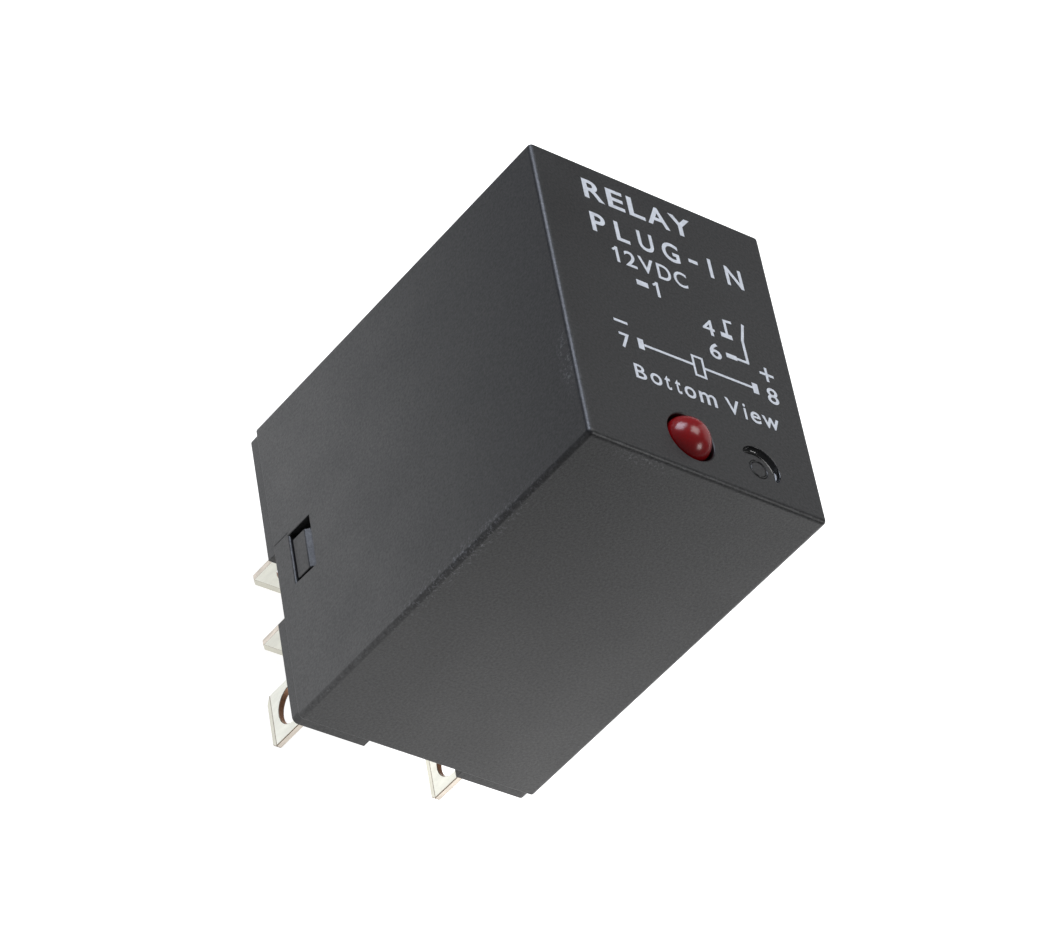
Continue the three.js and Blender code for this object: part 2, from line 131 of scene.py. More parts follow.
def surface(name, colour, rough, metal=0.0, grain=0.1, depth=0.002, mottle=0.12,
            patch=1.5, ior=1.5, coat=0.0, streak=None):
    """A general finish. Fine grain of `grain` mm stands `depth` mm high as bump and changes the
    roughness a little, and patches of `patch` mm change the colour by `mottle`. `streak` gives
    stretch factors along X, Y and Z, for rolled, drawn or brushed metal."""
    made, tree, place = start(name)
    stretched = place
    if streak:
        stretched = add(tree, "ShaderNodeMapping", {"Vector": place, "Scale": streak}).outputs[0]
    fine = add(tree, "ShaderNodeTexNoise",
               {"Vector": stretched, "Scale": 1 / (grain * MM), "Detail": 3.0, "Roughness": 0.6})
    broad = add(tree, "ShaderNodeTexNoise",
                {"Vector": stretched, "Scale": 1 / (patch * MM), "Detail": 4.0})
    ramp = add(tree, "ShaderNodeValToRGB", {"Fac": broad.outputs["Fac"]})
    ramp.color_ramp.elements[0].position = 0.3
    ramp.color_ramp.elements[1].position = 0.7
    ramp.color_ramp.elements[0].color = tone(colour, 1 - mottle)
    ramp.color_ramp.elements[1].color = tone(colour, 1 + mottle)
    gloss = add(tree, "ShaderNodeMapRange", {
        "Value": fine.outputs["Fac"], "From Min": 0.3, "From Max": 0.7,
        "To Min": max(0.02, rough - 0.05), "To Max": min(1.0, rough + 0.07)})
    bump = add(tree, "ShaderNodeBump",
               {"Height": fine.outputs["Fac"], "Distance": depth * MM, "Strength": 1.0})
    shader = add(tree, "ShaderNodeBsdfPrincipled", {
        "Base Color": ramp.outputs["Color"], "Metallic": metal, "IOR": ior,
        "Roughness": gloss.outputs[0], "Normal": bump.outputs[0], "Coat Weight": coat})
    close(tree, shader)
    return made


# ---------------------------------------------------------------- shapes


def linked(name, verts, faces):
    """A bare mesh object from arrays in millimetres, linked into the scene."""
    mesh = bpy.data.meshes.new(name)
    rows = [list(map(int, face)) for face in faces]
    mesh.from_pydata((np.asarray(verts, float) * MM).tolist(), [], rows)
    obj = bpy.data.objects.new(name, mesh)
    bpy.context.scene.collection.objects.link(obj)
    return obj


def piece(name, verts, faces, material, body=BASE_BODY, smooth=True, sharp=35.0):
    """A mesh object from arrays in millimetres, riding on a body."""
    obj = linked(name, verts, faces)
    obj.data.validate()
    tidy(obj, smooth, sharp)
    obj.data.materials.append(material)
    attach(obj, body)
    return obj


def tidy(obj, smooth=True, sharp=35.0):
    """Merges doubles, turns the faces outward and marks the sharp edges."""
    bm = bmesh.new()
    bm.from_mesh(obj.data)
    bmesh.ops.remove_doubles(bm, verts=bm.verts, dist=1e-7)
    bmesh.ops.recalc_face_normals(bm, faces=bm.faces)
    bm.to_mesh(obj.data)
    bm.free()
    if smooth:
        obj.data.shade_smooth()
        obj.data.set_sharp_from_angle(angle=math.radians(sharp))


def grid_faces(rows, cols, wrap_rows=False, wrap_cols=False):
    """Quads over a rows by cols grid of points, closed along either direction on request."""
    i = np.arange(rows if wrap_rows else rows - 1)
    j = np.arange(cols if wrap_cols else cols - 1)
    i, j = (m.ravel() for m in np.meshgrid(i, j, indexing="ij"))
    i2, j2 = (i + 1) % rows, (j + 1) % cols
    return np.stack([i * cols + j, i2 * cols + j, i2 * cols + j2, i * cols + j2], 1)


def lathe(profile, centre=(0.0, 0.0), sides=48):
    """A turned surface: each profile point (r, z) is carried round the vertical through the
    centre, x = cx + r cos a, y = cy + r sin a. The profile is closed on itself, or starts and
    ends on the axis, where its points merge."""
    profile = np.asarray(profile, float)
    angle = np.linspace(0, 2 * np.pi, sides, endpoint=False)
    r, z = profile[:, 0][:, None], profile[:, 1][:, None]
    points = np.stack([centre[0] + r * np.cos(angle), centre[1] + r * np.sin(angle),
                       z + 0 * angle], -1)
    closed = bool(profile[0, 0] > 1e-9)
    return points.reshape(-1, 3), grid_faces(len(profile), sides, closed, True)


def along(path, section):
    """A closed section carried along a flat, bent path. At each point the section's two axes
    are the path's side, square to its direction in the path's plane, and the third direction,
    square to both. The two ends are capped."""
    path, section = np.asarray(path, float), np.asarray(section, float)
    direction = np.gradient(path, axis=0)
    direction /= np.linalg.norm(direction, axis=1)[:, None]
    plane = np.linalg.svd(path - path.mean(0))[2][2]
    side = np.cross(direction, plane)
    side /= np.linalg.norm(side, axis=1)[:, None]
    third = np.cross(side, direction)
    points = (path[:, None, :] + section[None, :, 0, None] * side[:, None, :]
              + section[None, :, 1, None] * third[:, None, :])
    rows, cols = len(path), len(section)
    faces = grid_faces(rows, cols, False, True).tolist()
    faces += [list(range(cols)), list(range((rows - 1) * cols, rows * cols))[::-1]]
    return points.reshape(-1, 3), faces


def circle(radius, sides=12):
    """Points of a circle, r cos a and r sin a."""
    angle = np.linspace(0, 2 * np.pi, sides, endpoint=False)
    return np.stack([radius * np.cos(angle), radius * np.sin(angle)], 1)


def eased(corners, radius, steps=6):
    """A polyline whose inner corners are rounded: each corner becomes the quadratic arc
    (1-t)^2 a + 2 t (1-t) c + t^2 b between points one radius away on both sides."""
    corners = np.asarray(corners, float)
    t = np.linspace(0, 1, steps)[:, None]
    parts = [corners[:1]]
    for before, corner, after in zip(corners[:-2], corners[1:-1], corners[2:]):
        a = corner + (before - corner) / np.linalg.norm(before - corner) * radius
        b = corner + (after - corner) / np.linalg.norm(after - corner) * radius
        parts.append((1 - t) ** 2 * a + 2 * t * (1 - t) * corner + t**2 * b)
    parts.append(corners[-1:])
    return np.concatenate(parts)


def round_box(low, high, radius, steps=8):
    """A box with round edges: the box shrunk by the radius plus a ball of that radius. Ball
    directions run over a grid of longitude and latitude, doubled where a sign changes, and
    each point is its own corner of the inner box plus radius times its direction."""
    low, high = np.asarray(low, float), np.asarray(high, float)
    quarter = np.linspace(0, np.pi / 2, steps + 1)
    lon = np.concatenate([quarter + k * np.pi / 2 for k in range(4)])
    sx = np.repeat([1, -1, -1, 1], steps + 1)
    sy = np.repeat([1, 1, -1, -1], steps + 1)
    lat = np.concatenate([quarter - np.pi / 2, quarter])
    sz = np.repeat([-1, 1], steps + 1)
    n = np.stack([np.cos(lat)[:, None] * np.cos(lon), np.cos(lat)[:, None] * np.sin(lon),
                  np.sin(lat)[:, None] + 0 * lon], -1)
    sign = np.stack(np.broadcast_arrays(sx[None, :], sy[None, :], sz[:, None]), -1)
    middle, half = (low + high) / 2, (high - low) / 2 - radius
    points = middle + sign * half + radius * n
    rows, cols = len(lat), len(lon)
    faces = grid_faces(rows, cols, False, True).tolist()
    corner = np.arange(4) * (steps + 1)
    faces += [corner[::-1].tolist(), ((rows - 1) * cols + corner).tolist()]
    return points.reshape(-1, 3), faces


def loft(rings):
    """A closed solid through rings of equal point count, with flat ends."""
    rings = np.asarray(rings, float)
    rows, cols = rings.shape[:2]
    faces = grid_faces(rows, cols, False, True).tolist()
    faces += [list(range(cols))[::-1], list(range((rows - 1) * cols, rows * cols))]
    return rings.reshape(-1, 3), faces


def cut_away(target, cutters):
    """Cuts each cutter out of the target mesh for good, then drops it."""
    for verts, faces in cutters:
        tool = linked("cutter", verts, faces)
        tidy(tool, False)
        step = target.modifiers.new("cut", "BOOLEAN")
        step.operation, step.object, step.solver = "DIFFERENCE", tool, "EXACT"
        bpy.context.view_layer.update()
        graph = bpy.context.evaluated_depsgraph_get()
        made = bpy.data.meshes.new_from_object(target.evaluated_get(graph))
        target.modifiers.clear()
        spent, target.data = (target.data, tool.data), made
        bpy.data.objects.remove(tool)
        for mesh in spent:
            bpy.data.meshes.remove(mesh)


def even_normals(obj):
    """Shading normals follow the larger faces, so flats stay flat beside their rounds."""
    step = obj.modifiers.new("even_normals", "WEIGHTED_NORMAL")
    step.mode, step.weight, step.keep_sharp = "FACE_AREA", 60, True


def softened(node, material, width=0.08, body=BASE_BODY, sharp=32.0, cut=None, segments=2):
    """A copy of a frame node with its sharp edges rounded to `width` mm. Flat facets are first
    dissolved. `cut` = (axis, edge, hole, coined, corner) finishes a part stamped across that
    axis: faces along the axis get the edge finish, or the hole's where they lie well inside
    the part's outline, slanting faces get the coined one, and the rounded edges the last."""
    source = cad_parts[node]
    mesh = source.data.copy()
    mesh.materials.clear()
    for made in (material,) + (cut[1:] if cut else ()):
        mesh.materials.append(made)
    obj = bpy.data.objects.new(node + "_finished", mesh)
    bpy.context.scene.collection.objects.link(obj)
    bm = bmesh.new()
    bm.from_mesh(mesh)
    bmesh.ops.remove_doubles(bm, verts=bm.verts, dist=2e-6)
    bmesh.ops.dissolve_limit(bm, angle_limit=math.radians(0.6), verts=bm.verts, edges=bm.edges)
    bmesh.ops.recalc_face_normals(bm, faces=bm.faces)
    across = 1 - cut[0] if cut else 0
    reach = [v.co[across] for v in bm.verts]
    for face in bm.faces:
        face.material_index = 0
        lean = abs(face.normal[cut[0]]) if cut else 1
        if lean < 0.3:
            place = face.calc_center_median()
            depth = min(place[across] - min(reach), max(reach) - place[across])
            inner = depth > EYE_INSET * MM and EYE_LOW * MM < place.z < EYE_HIGH * MM
            face.material_index = 2 if inner else 1
        elif lean < 0.985:
            face.material_index = 3
    if cut:
        weight = bm.edges.layers.float.new("bevel_weight_edge")
        for edge in bm.edges:
            coined = {face.material_index for face in edge.link_faces} == {0, 3}
            edge[weight] = float(coined or edge.calc_face_angle(0) > math.radians(sharp))
    bm.to_mesh(mesh)
    bm.free()
    mesh.shade_smooth()
    mesh.set_sharp_from_angle(angle=math.radians(sharp))
    if width:
        step = obj.modifiers.new("rounded_edges", "BEVEL")
        step.width, step.segments = width * MM, segments
        step.limit_method, step.angle_limit = "WEIGHT" if cut else "ANGLE", math.radians(sharp)
        step.material = len(mesh.materials) - 1 if cut else -1
        step.use_clamp_overlap = True
    even_normals(obj)
    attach(obj, body)
    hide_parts(node)
    return obj


# ---------------------------------------------------------------- settings


def size_setting(label, text, value):
    """A length that a user may change, given here in millimetres and kept in metres."""
    return FloatProperty(name=label, description=text, default=value * MM, min=0.0,
                         precision=5, subtype="DISTANCE", unit="LENGTH")


def angle_setting(label, text, value):
    """An angle that a user may change, given here in degrees and kept in radians."""
    return FloatProperty(name=label, description=text, default=math.radians(value),
                         subtype="ANGLE", unit="ROTATION")


def colour_setting(label, text, code):
    """A colour that a user may change."""
    return FloatVectorProperty(name=label, description=text, default=linear(code), size=3,
                               min=0.0, max=1.0, subtype="COLOR")


class RelayCoverSettings(bpy.types.PropertyGroup):
    """Sizes and colours of the moulded case."""

    colour: colour_setting("Case black", "Black of the moulded case", "#1e1e1f")
    # Grey of worn edges, nicks and marks, which along the edges is also a painted highlight.
    scuff_and_highlight: colour_setting("Scuff grey", "Grey of rubbed edges and small nicks", "#6b6c70")
    edge: size_setting("Edge radius", "Radius of the case's outer edges", 0.4)
    wall: size_setting("Wall", "Thickness of the case's walls", 0.9)
    roof: size_setting("Roof", "Thickness under the printed face", 1.0)
    lamp_hole: size_setting("Lamp hole", "Radius of the indicator's hole", 2.05)


class RelayPrintSettings(bpy.types.PropertyGroup):
    """Ink of the printed face."""

    ink: colour_setting("Ink", "Pad-printed ink, a cool off-white", "#e2e6ec")
    thickness: size_setting("Ink height", "Height of the ink film", 0.012)
    turn: angle_setting("Turn", "How far the print is off square", 0.75)


class RelayPartSettings(bpy.types.PropertyGroup):
    """Colours of the base, the blades and the parts inside."""

    base: colour_setting("Base black", "Black of the moulded base", "#1e1e1f")
    lamp: colour_setting("Lamp red", "Red of the clear indicator resin", "#a51218")
    tin: colour_setting("Tin", "Pale tin plate on the blades", "#e8e8de")
    sheared: colour_setting("Sheared copper", "Bare copper alloy in the eyes", "#b98a6a")
    board: colour_setting("Board green", "Solder mask of the boards", "#1f5c34")
    copper: colour_setting("Copper wire", "Enamelled copper of the winding", "#b2542a")


class RelayStageSettings(bpy.types.PropertyGroup):
    """Camera, lights and floor."""

    azimuth: angle_setting("Azimuth", "Camera's turn about Z", -39.7215)
    elevation: angle_setting("Elevation", "Camera's height angle", 33.4823)
    roll: angle_setting("Roll", "Camera's turn about its own axis", -45.3155)
    distance: size_setting("Distance", "Camera to its aim point", 359.302)
    lens: FloatProperty(name="Lens", description="Focal length on a 36 mm sensor", default=167.56,
                        min=1.0, subtype="DISTANCE_CAMERA", unit="CAMERA")
    floor: colour_setting("Floor", "Pale studio floor", "#f7f7f7")
    pool: FloatProperty(name="Pool", description="Glow of the lit sheet round the part",
                        default=1.06, min=0.0)
    sky: FloatProperty(name="Sky", description="Strength of the even sky", default=0.12, min=0.0)


# ---------------------------------------------------------------- materials


def moulded_black(name, colour, scuff_and_highlight, rough):
    """Black PBT, moulded in a spark-eroded tool: its grain gives a soft half-matt sheen, the edges
    turn grey in patches, partly as rubbed wear and nicks and partly as a painted highlight along
    the rounded edges, and faint handling marks lie on the flats. Such a grain is about 0.05 mm wide
    and is drawn at 0.2 mm, so that it shows."""
    made, tree, place = start(name)
    grain = add(tree, "ShaderNodeTexNoise",
                {"Vector": place, "Scale": 1 / (0.2 * MM), "Detail": 3.0, "Roughness": 0.7})
    cloud = add(tree, "ShaderNodeTexNoise",
                {"Vector": place, "Scale": 1 / (5 * MM), "Detail": 3.0, "Roughness": 0.55})
    speck = add(tree, "ShaderNodeTexNoise",
                {"Vector": place, "Scale": 1 / (0.5 * MM), "Detail": 4.0, "Roughness": 0.7})
    parts = add(tree, "ShaderNodeSeparateXYZ", {"Vector": place})
    # The band within 0.3 mm of two outer faces turns grey in patches: partly rubbed wear and nicks,
    # partly a painted highlight along the rounded edges.
    near = []
    for axis, limit in (("X", HALF_X), ("Y", HALF_Y), ("Z", CASE_TOP)):
        size = add(tree, "ShaderNodeMath", {0: parts.outputs[axis]}, operation="ABSOLUTE")
        near.append(add(tree, "ShaderNodeMapRange", {
            "Value": size.outputs[0], "From Min": (limit - 0.3) * MM, "From Max": limit * MM},
            interpolation_type="SMOOTHSTEP").outputs[0])
    pairs = [add(tree, "ShaderNodeMath", {0: near[a], 1: near[b]}, operation="MULTIPLY").outputs[0]
             for a, b in ((0, 1), (0, 2), (1, 2))]
    first = add(tree, "ShaderNodeMath", {0: pairs[0], 1: pairs[1]}, operation="MAXIMUM")
    edge = add(tree, "ShaderNodeMath", {0: first.outputs[0], 1: pairs[2]}, operation="MAXIMUM")
    chipped = add(tree, "ShaderNodeMapRange",
                  {"Value": speck.outputs["Fac"], "From Min": 0.5, "From Max": 0.72})
    wear_and_edge_highlight = add(tree, "ShaderNodeMath", {0: edge.outputs[0], 1: chipped.outputs[0]},
               operation="MULTIPLY")
    # Handling marks: specks of 0.28 mm in two long patches beside the printed face and one
    # down the corner between the left and front faces.
    fleck = add(tree, "ShaderNodeTexNoise",
                {"Vector": place, "Scale": 1 / (0.28 * MM), "Detail": 5.0, "Roughness": 0.75})
    spots = add(tree, "ShaderNodeMapRange",
                {"Value": fleck.outputs["Fac"], "From Min": 0.53, "From Max": 0.62})
    for centre, stretch in (((-HALF_X, -6.8, 35.1), (1, 0.32, 1.3)),
                            ((-5.6, -HALF_Y, 35.3), (0.32, 1, 1.5)),
                            ((-10.7, -13.9, 22.0), (1, 1, 0.1))):
        off = add(tree, "ShaderNodeVectorMath",
                  {0: place, 1: tuple(c * MM for c in centre)}, operation="SUBTRACT")
        near_by = add(tree, "ShaderNodeVectorMath", {0: off.outputs[0], 1: stretch},
                      operation="MULTIPLY")
        reach = add(tree, "ShaderNodeVectorMath", {0: near_by.outputs[0]}, operation="LENGTH")
        fade = add(tree, "ShaderNodeMapRange", {
            "Value": reach.outputs["Value"], "From Min": 1.2 * MM, "From Max": 0.2 * MM})
        marks = add(tree, "ShaderNodeMath", {0: fade.outputs[0], 1: spots.outputs[0]},
                    operation="MULTIPLY")
        wear_and_edge_highlight = add(tree, "ShaderNodeMath", {0: wear_and_edge_highlight.outputs[0], 1: marks.outputs[0]},
                   operation="MAXIMUM")
    ramp = add(tree, "ShaderNodeValToRGB", {"Fac": cloud.outputs["Fac"]})
    ramp.color_ramp.elements[0].position = 0.3
    ramp.color_ramp.elements[1].position = 0.72
    ramp.color_ramp.elements[0].color = tone(colour, 0.88)
    ramp.color_ramp.elements[1].color = tone(colour, 1.14)
    # The grey mixed in over the edges and marks is partly wear and partly a painted edge highlight.
    body = add(tree, "ShaderNodeMix", {"Factor": wear_and_edge_highlight.outputs[0], 6: ramp.outputs["Color"],
                                       7: tone(scuff_and_highlight, 1.0)}, data_type="RGBA")
    gloss = add(tree, "ShaderNodeMapRange", {
        "Value": cloud.outputs["Fac"], "From Min": 0.3, "From Max": 0.7,
        "To Min": rough - 0.03, "To Max": rough + 0.04})
    # Below the top face, round the crescent, the tool was polished: glossy walls.
    mark = tuple(v * MM for v in (*MARK_CENTRE, CASE_TOP))
    from_mark = add(tree, "ShaderNodeVectorMath", {0: place, 1: mark}, operation="DISTANCE")
    inside = add(tree, "ShaderNodeMath", {0: from_mark.outputs["Value"], 1: 2.5 * MM},
                 operation="LESS_THAN")
    sunk = add(tree, "ShaderNodeMath", {0: parts.outputs["Z"], 1: (CASE_TOP - 0.015) * MM},
               operation="LESS_THAN")
    polished = add(tree, "ShaderNodeMath", {0: inside.outputs[0], 1: sunk.outputs[0]},
                   operation="MULTIPLY")
    finish = add(tree, "ShaderNodeMix", {"Factor": polished.outputs[0], 2: gloss.outputs[0],
                                         3: 0.14}, data_type="FLOAT")
    sheen = add(tree, "ShaderNodeMapRange", {
        "Value": grain.outputs["Fac"], "From Min": 0.3, "From Max": 0.7,
        "To Min": 0.36, "To Max": 0.64})
    bump = add(tree, "ShaderNodeBump",
               {"Height": grain.outputs["Fac"], "Distance": 0.016 * MM, "Strength": 0.9})
    shader = add(tree, "ShaderNodeBsdfPrincipled", {
        "Base Color": body.outputs[2], "Roughness": finish.outputs[0], "IOR": 1.64,
        "Specular IOR Level": sheen.outputs[0], "Normal": bump.outputs[0]})
    close(tree, shader)
    return made


def clear_red(name, colour):
    """Red dyed epoxy, cast: wet-looking dome with light going a little way in."""
    made, tree, place = start(name)
    cloud = add(tree, "ShaderNodeTexNoise",
                {"Vector": place, "Scale": 1 / (1.6 * MM), "Detail": 2.0})
    ramp = add(tree, "ShaderNodeValToRGB", {"Fac": cloud.outputs["Fac"]})
    ramp.color_ramp.elements[0].color = tone(colour, 0.8)
    ramp.color_ramp.elements[1].color = tone(colour, 1.2)
    ripple = add(tree, "ShaderNodeTexNoise",
                 {"Vector": place, "Scale": 1 / (0.9 * MM), "Detail": 1.0})
    bump = add(tree, "ShaderNodeBump",
               {"Height": ripple.outputs["Fac"], "Distance": 0.012 * MM, "Strength": 0.6})
    shader = add(tree, "ShaderNodeBsdfPrincipled", {
        "Base Color": ramp.outputs["Color"], "Roughness": 0.24, "IOR": 1.54,
        "Transmission Weight": 0.25, "Subsurface Weight": 0.2, "Subsurface Scale": 0.6 * MM,
        "Subsurface Radius": (1.0, 0.15, 0.1), "Coat Weight": 0.15, "Coat Roughness": 0.16,
        "Normal": bump.outputs[0]})
    close(tree, shader)
    return made


def board_green(name, colour):
    """Glass-epoxy board under green solder mask: copper tracks 1.5 mm wide and about 9 mm long
    show lighter and a little raised, with gaps of 0.25 mm between them. X runs along both
    boards, and the sum of Y and Z runs across either."""
    made, tree, place = start(name)
    parts = add(tree, "ShaderNodeSeparateXYZ", {"Vector": place})
    rise = add(tree, "ShaderNodeMath", {0: parts.outputs["Y"], 1: parts.outputs["Z"]})
    flat = add(tree, "ShaderNodeCombineXYZ", {"X": parts.outputs["X"], "Y": rise.outputs[0]})
    fields = add(tree, "ShaderNodeTexBrick", {
        "Vector": flat.outputs[0], "Scale": 1 / MM, "Mortar Size": 0.12, "Mortar Smooth": 0.1,
        "Brick Width": 9.0, "Row Height": 1.75}, offset=0.37, squash=0.6, squash_frequency=3)
    mix = add(tree, "ShaderNodeMix", {"Factor": fields.outputs["Fac"], 6: tone(colour, 1.35),
                                      7: tone(colour, 0.9)}, data_type="RGBA")
    raised = add(tree, "ShaderNodeMath", {0: 1.0, 1: fields.outputs["Fac"]}, operation="SUBTRACT")
    bump = add(tree, "ShaderNodeBump",
               {"Height": raised.outputs[0], "Distance": 0.03 * MM, "Strength": 0.7})
    shader = add(tree, "ShaderNodeBsdfPrincipled", {
        "Base Color": mix.outputs[2], "Roughness": 0.32, "IOR": 1.5, "Normal": bump.outputs[0]})
    close(tree, shader)
    return made


def banded(name, body, bands, width):
    """Lacquered resistor body with painted rings: each ring is the stretch of height within
    half a width of its own place, in millimetres above the frame's origin."""
    made, tree, place = start(name)
    height = add(tree, "ShaderNodeSeparateXYZ", {"Vector": place}).outputs["Z"]
    last = tone(body, 1.0)
    for where, code in bands:
        away = add(tree, "ShaderNodeMath", {0: height, 1: where * MM}, operation="SUBTRACT")
        size = add(tree, "ShaderNodeMath", {0: away.outputs[0]}, operation="ABSOLUTE")
        inside = add(tree, "ShaderNodeMath", {0: size.outputs[0], 1: width * MM / 2},
                     operation="LESS_THAN")
        ring = add(tree, "ShaderNodeMix", {"Factor": inside.outputs[0], 6: last,
                                           7: tone(linear(code), 1.0)}, data_type="RGBA")
        last = ring.outputs[2]
    grain = add(tree, "ShaderNodeTexNoise", {"Vector": place, "Scale": 1 / (0.3 * MM)})
    bump = add(tree, "ShaderNodeBump", {"Height": grain.outputs["Fac"], "Distance": 0.01 * MM})
    shader = add(tree, "ShaderNodeBsdfPrincipled", {
        "Base Color": last, "Roughness": 0.35, "IOR": 1.5, "Normal": bump.outputs[0]})
    close(tree, shader)
    return made


# Plain finishes: colour, roughness, metallic, then where they differ from the usual ones the
# grain, bump depth, mottle, patch size, IOR, coat and streak of `surface`.
PLAIN = {
    # The blades' edges outside, where tin is dragged over the alloy: pale and streaky.
    "smeared_edge": ("#ddd3c6", 0.42, 0.7, 0.12, 0.006, 0.18, 0.35, 1.5, 0.0, (1, 1, 0.3)),
    # Tin pressed thin on the tip's bevels: a shade darker.
    "coined_tin": ("#d3d1c4", 0.36, 0.85, 0.2, 0.004, 0.08),
    # Thin worn corners of the blades, where the browned alloy shows through.
    "worn_corner": ("#7d6b59", 0.5, 0.3, 0.1, 0.004, 0.25, 0.4),
    # Zinc-plated soft iron, barrel plated: even grey with small dull patches.
    "zinc_plated_iron": ("#a9acae", 0.36, 0.95, 0.2, 0.004, 0.08),
    # Glass-filled nylon, cream.
    "glass_filled_nylon": ("#e4dcc6", 0.5, 0, 0.15, 0.006, 0.05),
    # Pressed fibre sheet, ivory.
    "fibre_sheet": ("#ddd5c0", 0.6, 0, 0.25, 0.008, 0.07),
    # Transfer-moulded epoxy, black, matt from its mould release.
    "black_epoxy": ("#191a1c", 0.5, 0, 0.1, 0.005, 0.12),
    # Tin-dipped copper wire, bright.
    "tinned_wire": ("#cfcdc6", 0.22, 1.0, 0.3, 0.003, 0.08),
    # Rolled phosphor bronze strip, rolling lines along X.
    "phosphor_bronze": ("#b97a4a", 0.28, 1.0, 0.2, 0.003, 0.08, 1.5, 1.5, 0.0, (0.2, 1, 1)),
    # Silver alloy contact, bright and slightly frosted.
    "silver_alloy": ("#e3e1da", 0.25, 1.0, 0.2, 0.003, 0.05),
    # Blasted and etched aluminium: an even, pale grey.
    "blasted_aluminium": ("#b4b7ba", 0.48, 1.0, 0.12, 0.008, 0.06),
    # Nickel-plated copper tab, warm and bright.
    "nickel_plate": ("#c9c6bd", 0.3, 1.0, 0.2, 0.003, 0.05),
    # Filled silicone sheet, dull grey.
    "silicone_sheet": ("#8f9693", 0.75, 0, 0.15, 0.01, 0.08),
    # Polyester film box, gloss moulded.
    "film_box": ("#c99a24", 0.3, 0, 0.2, 0.004, 0.06),
    # Blue shrink sleeve over a can.
    "blue_sleeve": ("#234f8e", 0.32, 0, 0.4, 0.004, 0.08),
    # Blue dipped lacquer, orange-peel skin.
    "dipped_lacquer": ("#2b62a8", 0.28, 0, 0.5, 0.02, 0.06),
    # Solidified solder, bright with faint frost.
    "solder": ("#c4c5c6", 0.25, 1.0, 0.25, 0.006, 0.08),
}

# Ringed bodies: lacquer colour, then height and colour of each ring, and the ring's width.
RINGED = {
    "carbon_resistor": ("#c8a677", (
        (13.4, "#7a4a1e"), (14.8, "#1a1a1a"), (16.2, "#b3261e"), (17.9, "#c8a03a")), 0.55),
    "cement_resistor": ("#9ba09a", (
        (11.2, "#6a3f1a"), (13.0, "#1b1b1b"), (14.8, "#1b1b1b"), (16.6, "#c8a03a")), 0.55),
    "banded_diode": ("#1b1b1c", ((16.2, "#c9c9c9"),), 0.7),
}

MADE = {}


def finish_of(name):
    """Each finish is made once and shared. Those whose colour a user may change come first."""
    part, case = bpy.context.scene.relay_parts, bpy.context.scene.relay_cover
    changeable = {
        # Black PBT from a spark-eroded mould, half matt.
        "moulded_pbt_case": (moulded_black, case.colour, case.scuff_and_highlight, 0.42),
        "moulded_pbt_base": (moulded_black, part.base, case.scuff_and_highlight, 0.45),
        # Cast red epoxy.
        "red_epoxy": (clear_red, part.lamp),
        # Glass-epoxy laminate under solder mask.
        "solder_mask_board": (board_green, part.board),
        # Matt tin over rolled copper alloy: pale and soft, with faint rolling lines.
        "tinned_copper": (surface, part.tin, 0.38, 0.85, 0.25, 0.004, 0.09, 0.8, 1.5, 0.0,
                          (1, 1, 0.35)),
        # Bare alloy where the blade was sheared, browned by air.
        "sheared_copper": (surface, part.sheared, 0.5, 0.45, 0.15, 0.006, 0.2, 0.6),
        # Enamelled wire: lacquer over bright copper.
        "enamelled_copper": (surface, part.copper, 0.25, 0.9, 0.3, 0.002, 0.1, 1.0, 1.5, 0.5),
    }
    if name not in MADE:
        if name in changeable:
            maker, *values = changeable[name]
        else:
            maker = surface if name in PLAIN else banded
            code, *values = {**PLAIN, **RINGED}[name]
            values.insert(0, linear(code))
        MADE[name] = maker(name, *values)
    return MADE[name]


# ---------------------------------------------------------------- case


def window_cutter(side):
    """A latch window through one wall: a rectangle carried along X, its lower edge opening out
    by 0.18 mm over the last fifth of a millimetre at the outer face."""
    depth_and_lip = ((-1.6, 0.0), (-0.2, 0.0), (-0.12, 0.03), (-0.05, 0.08), (0.001, 0.18),
                     (0.5, 0.18))
    y0, y1, z0, z1 = -2.85, 1.9, 2.95, 5.53
    return loft([[[side * (HALF_X + depth), y, z] for y, z in (
        (y0, z0 - lip), (y1, z0 - lip), (y1, z1), (y0, z1))] for depth, lip in depth_and_lip])


def crescent_ring(centre, middle, half, first, last, steps=28):
    """The outline of a crescent with round tapering ends: at the fraction u of its sweep,
    from -1 to 1, its two sides stand off the middle radius by half * sqrt(1 - u^2)."""
    t = np.linspace(0, np.pi, steps, endpoint=False)
    u = np.concatenate([np.cos(t), -np.cos(t)])
    side = np.repeat([1, -1], steps)
    a = np.radians((first + last) / 2 - u * (last - first) / 2)
    r = middle + side * half * np.sqrt(np.clip(1 - u**2, 0, 1))
    return np.stack([centre[0] + r * np.cos(a), centre[1] + r * np.sin(a)], 1)


def at_height(outline, z):
    """A flat outline lifted to a height."""
    return np.column_stack([outline, np.full(len(outline), z)])


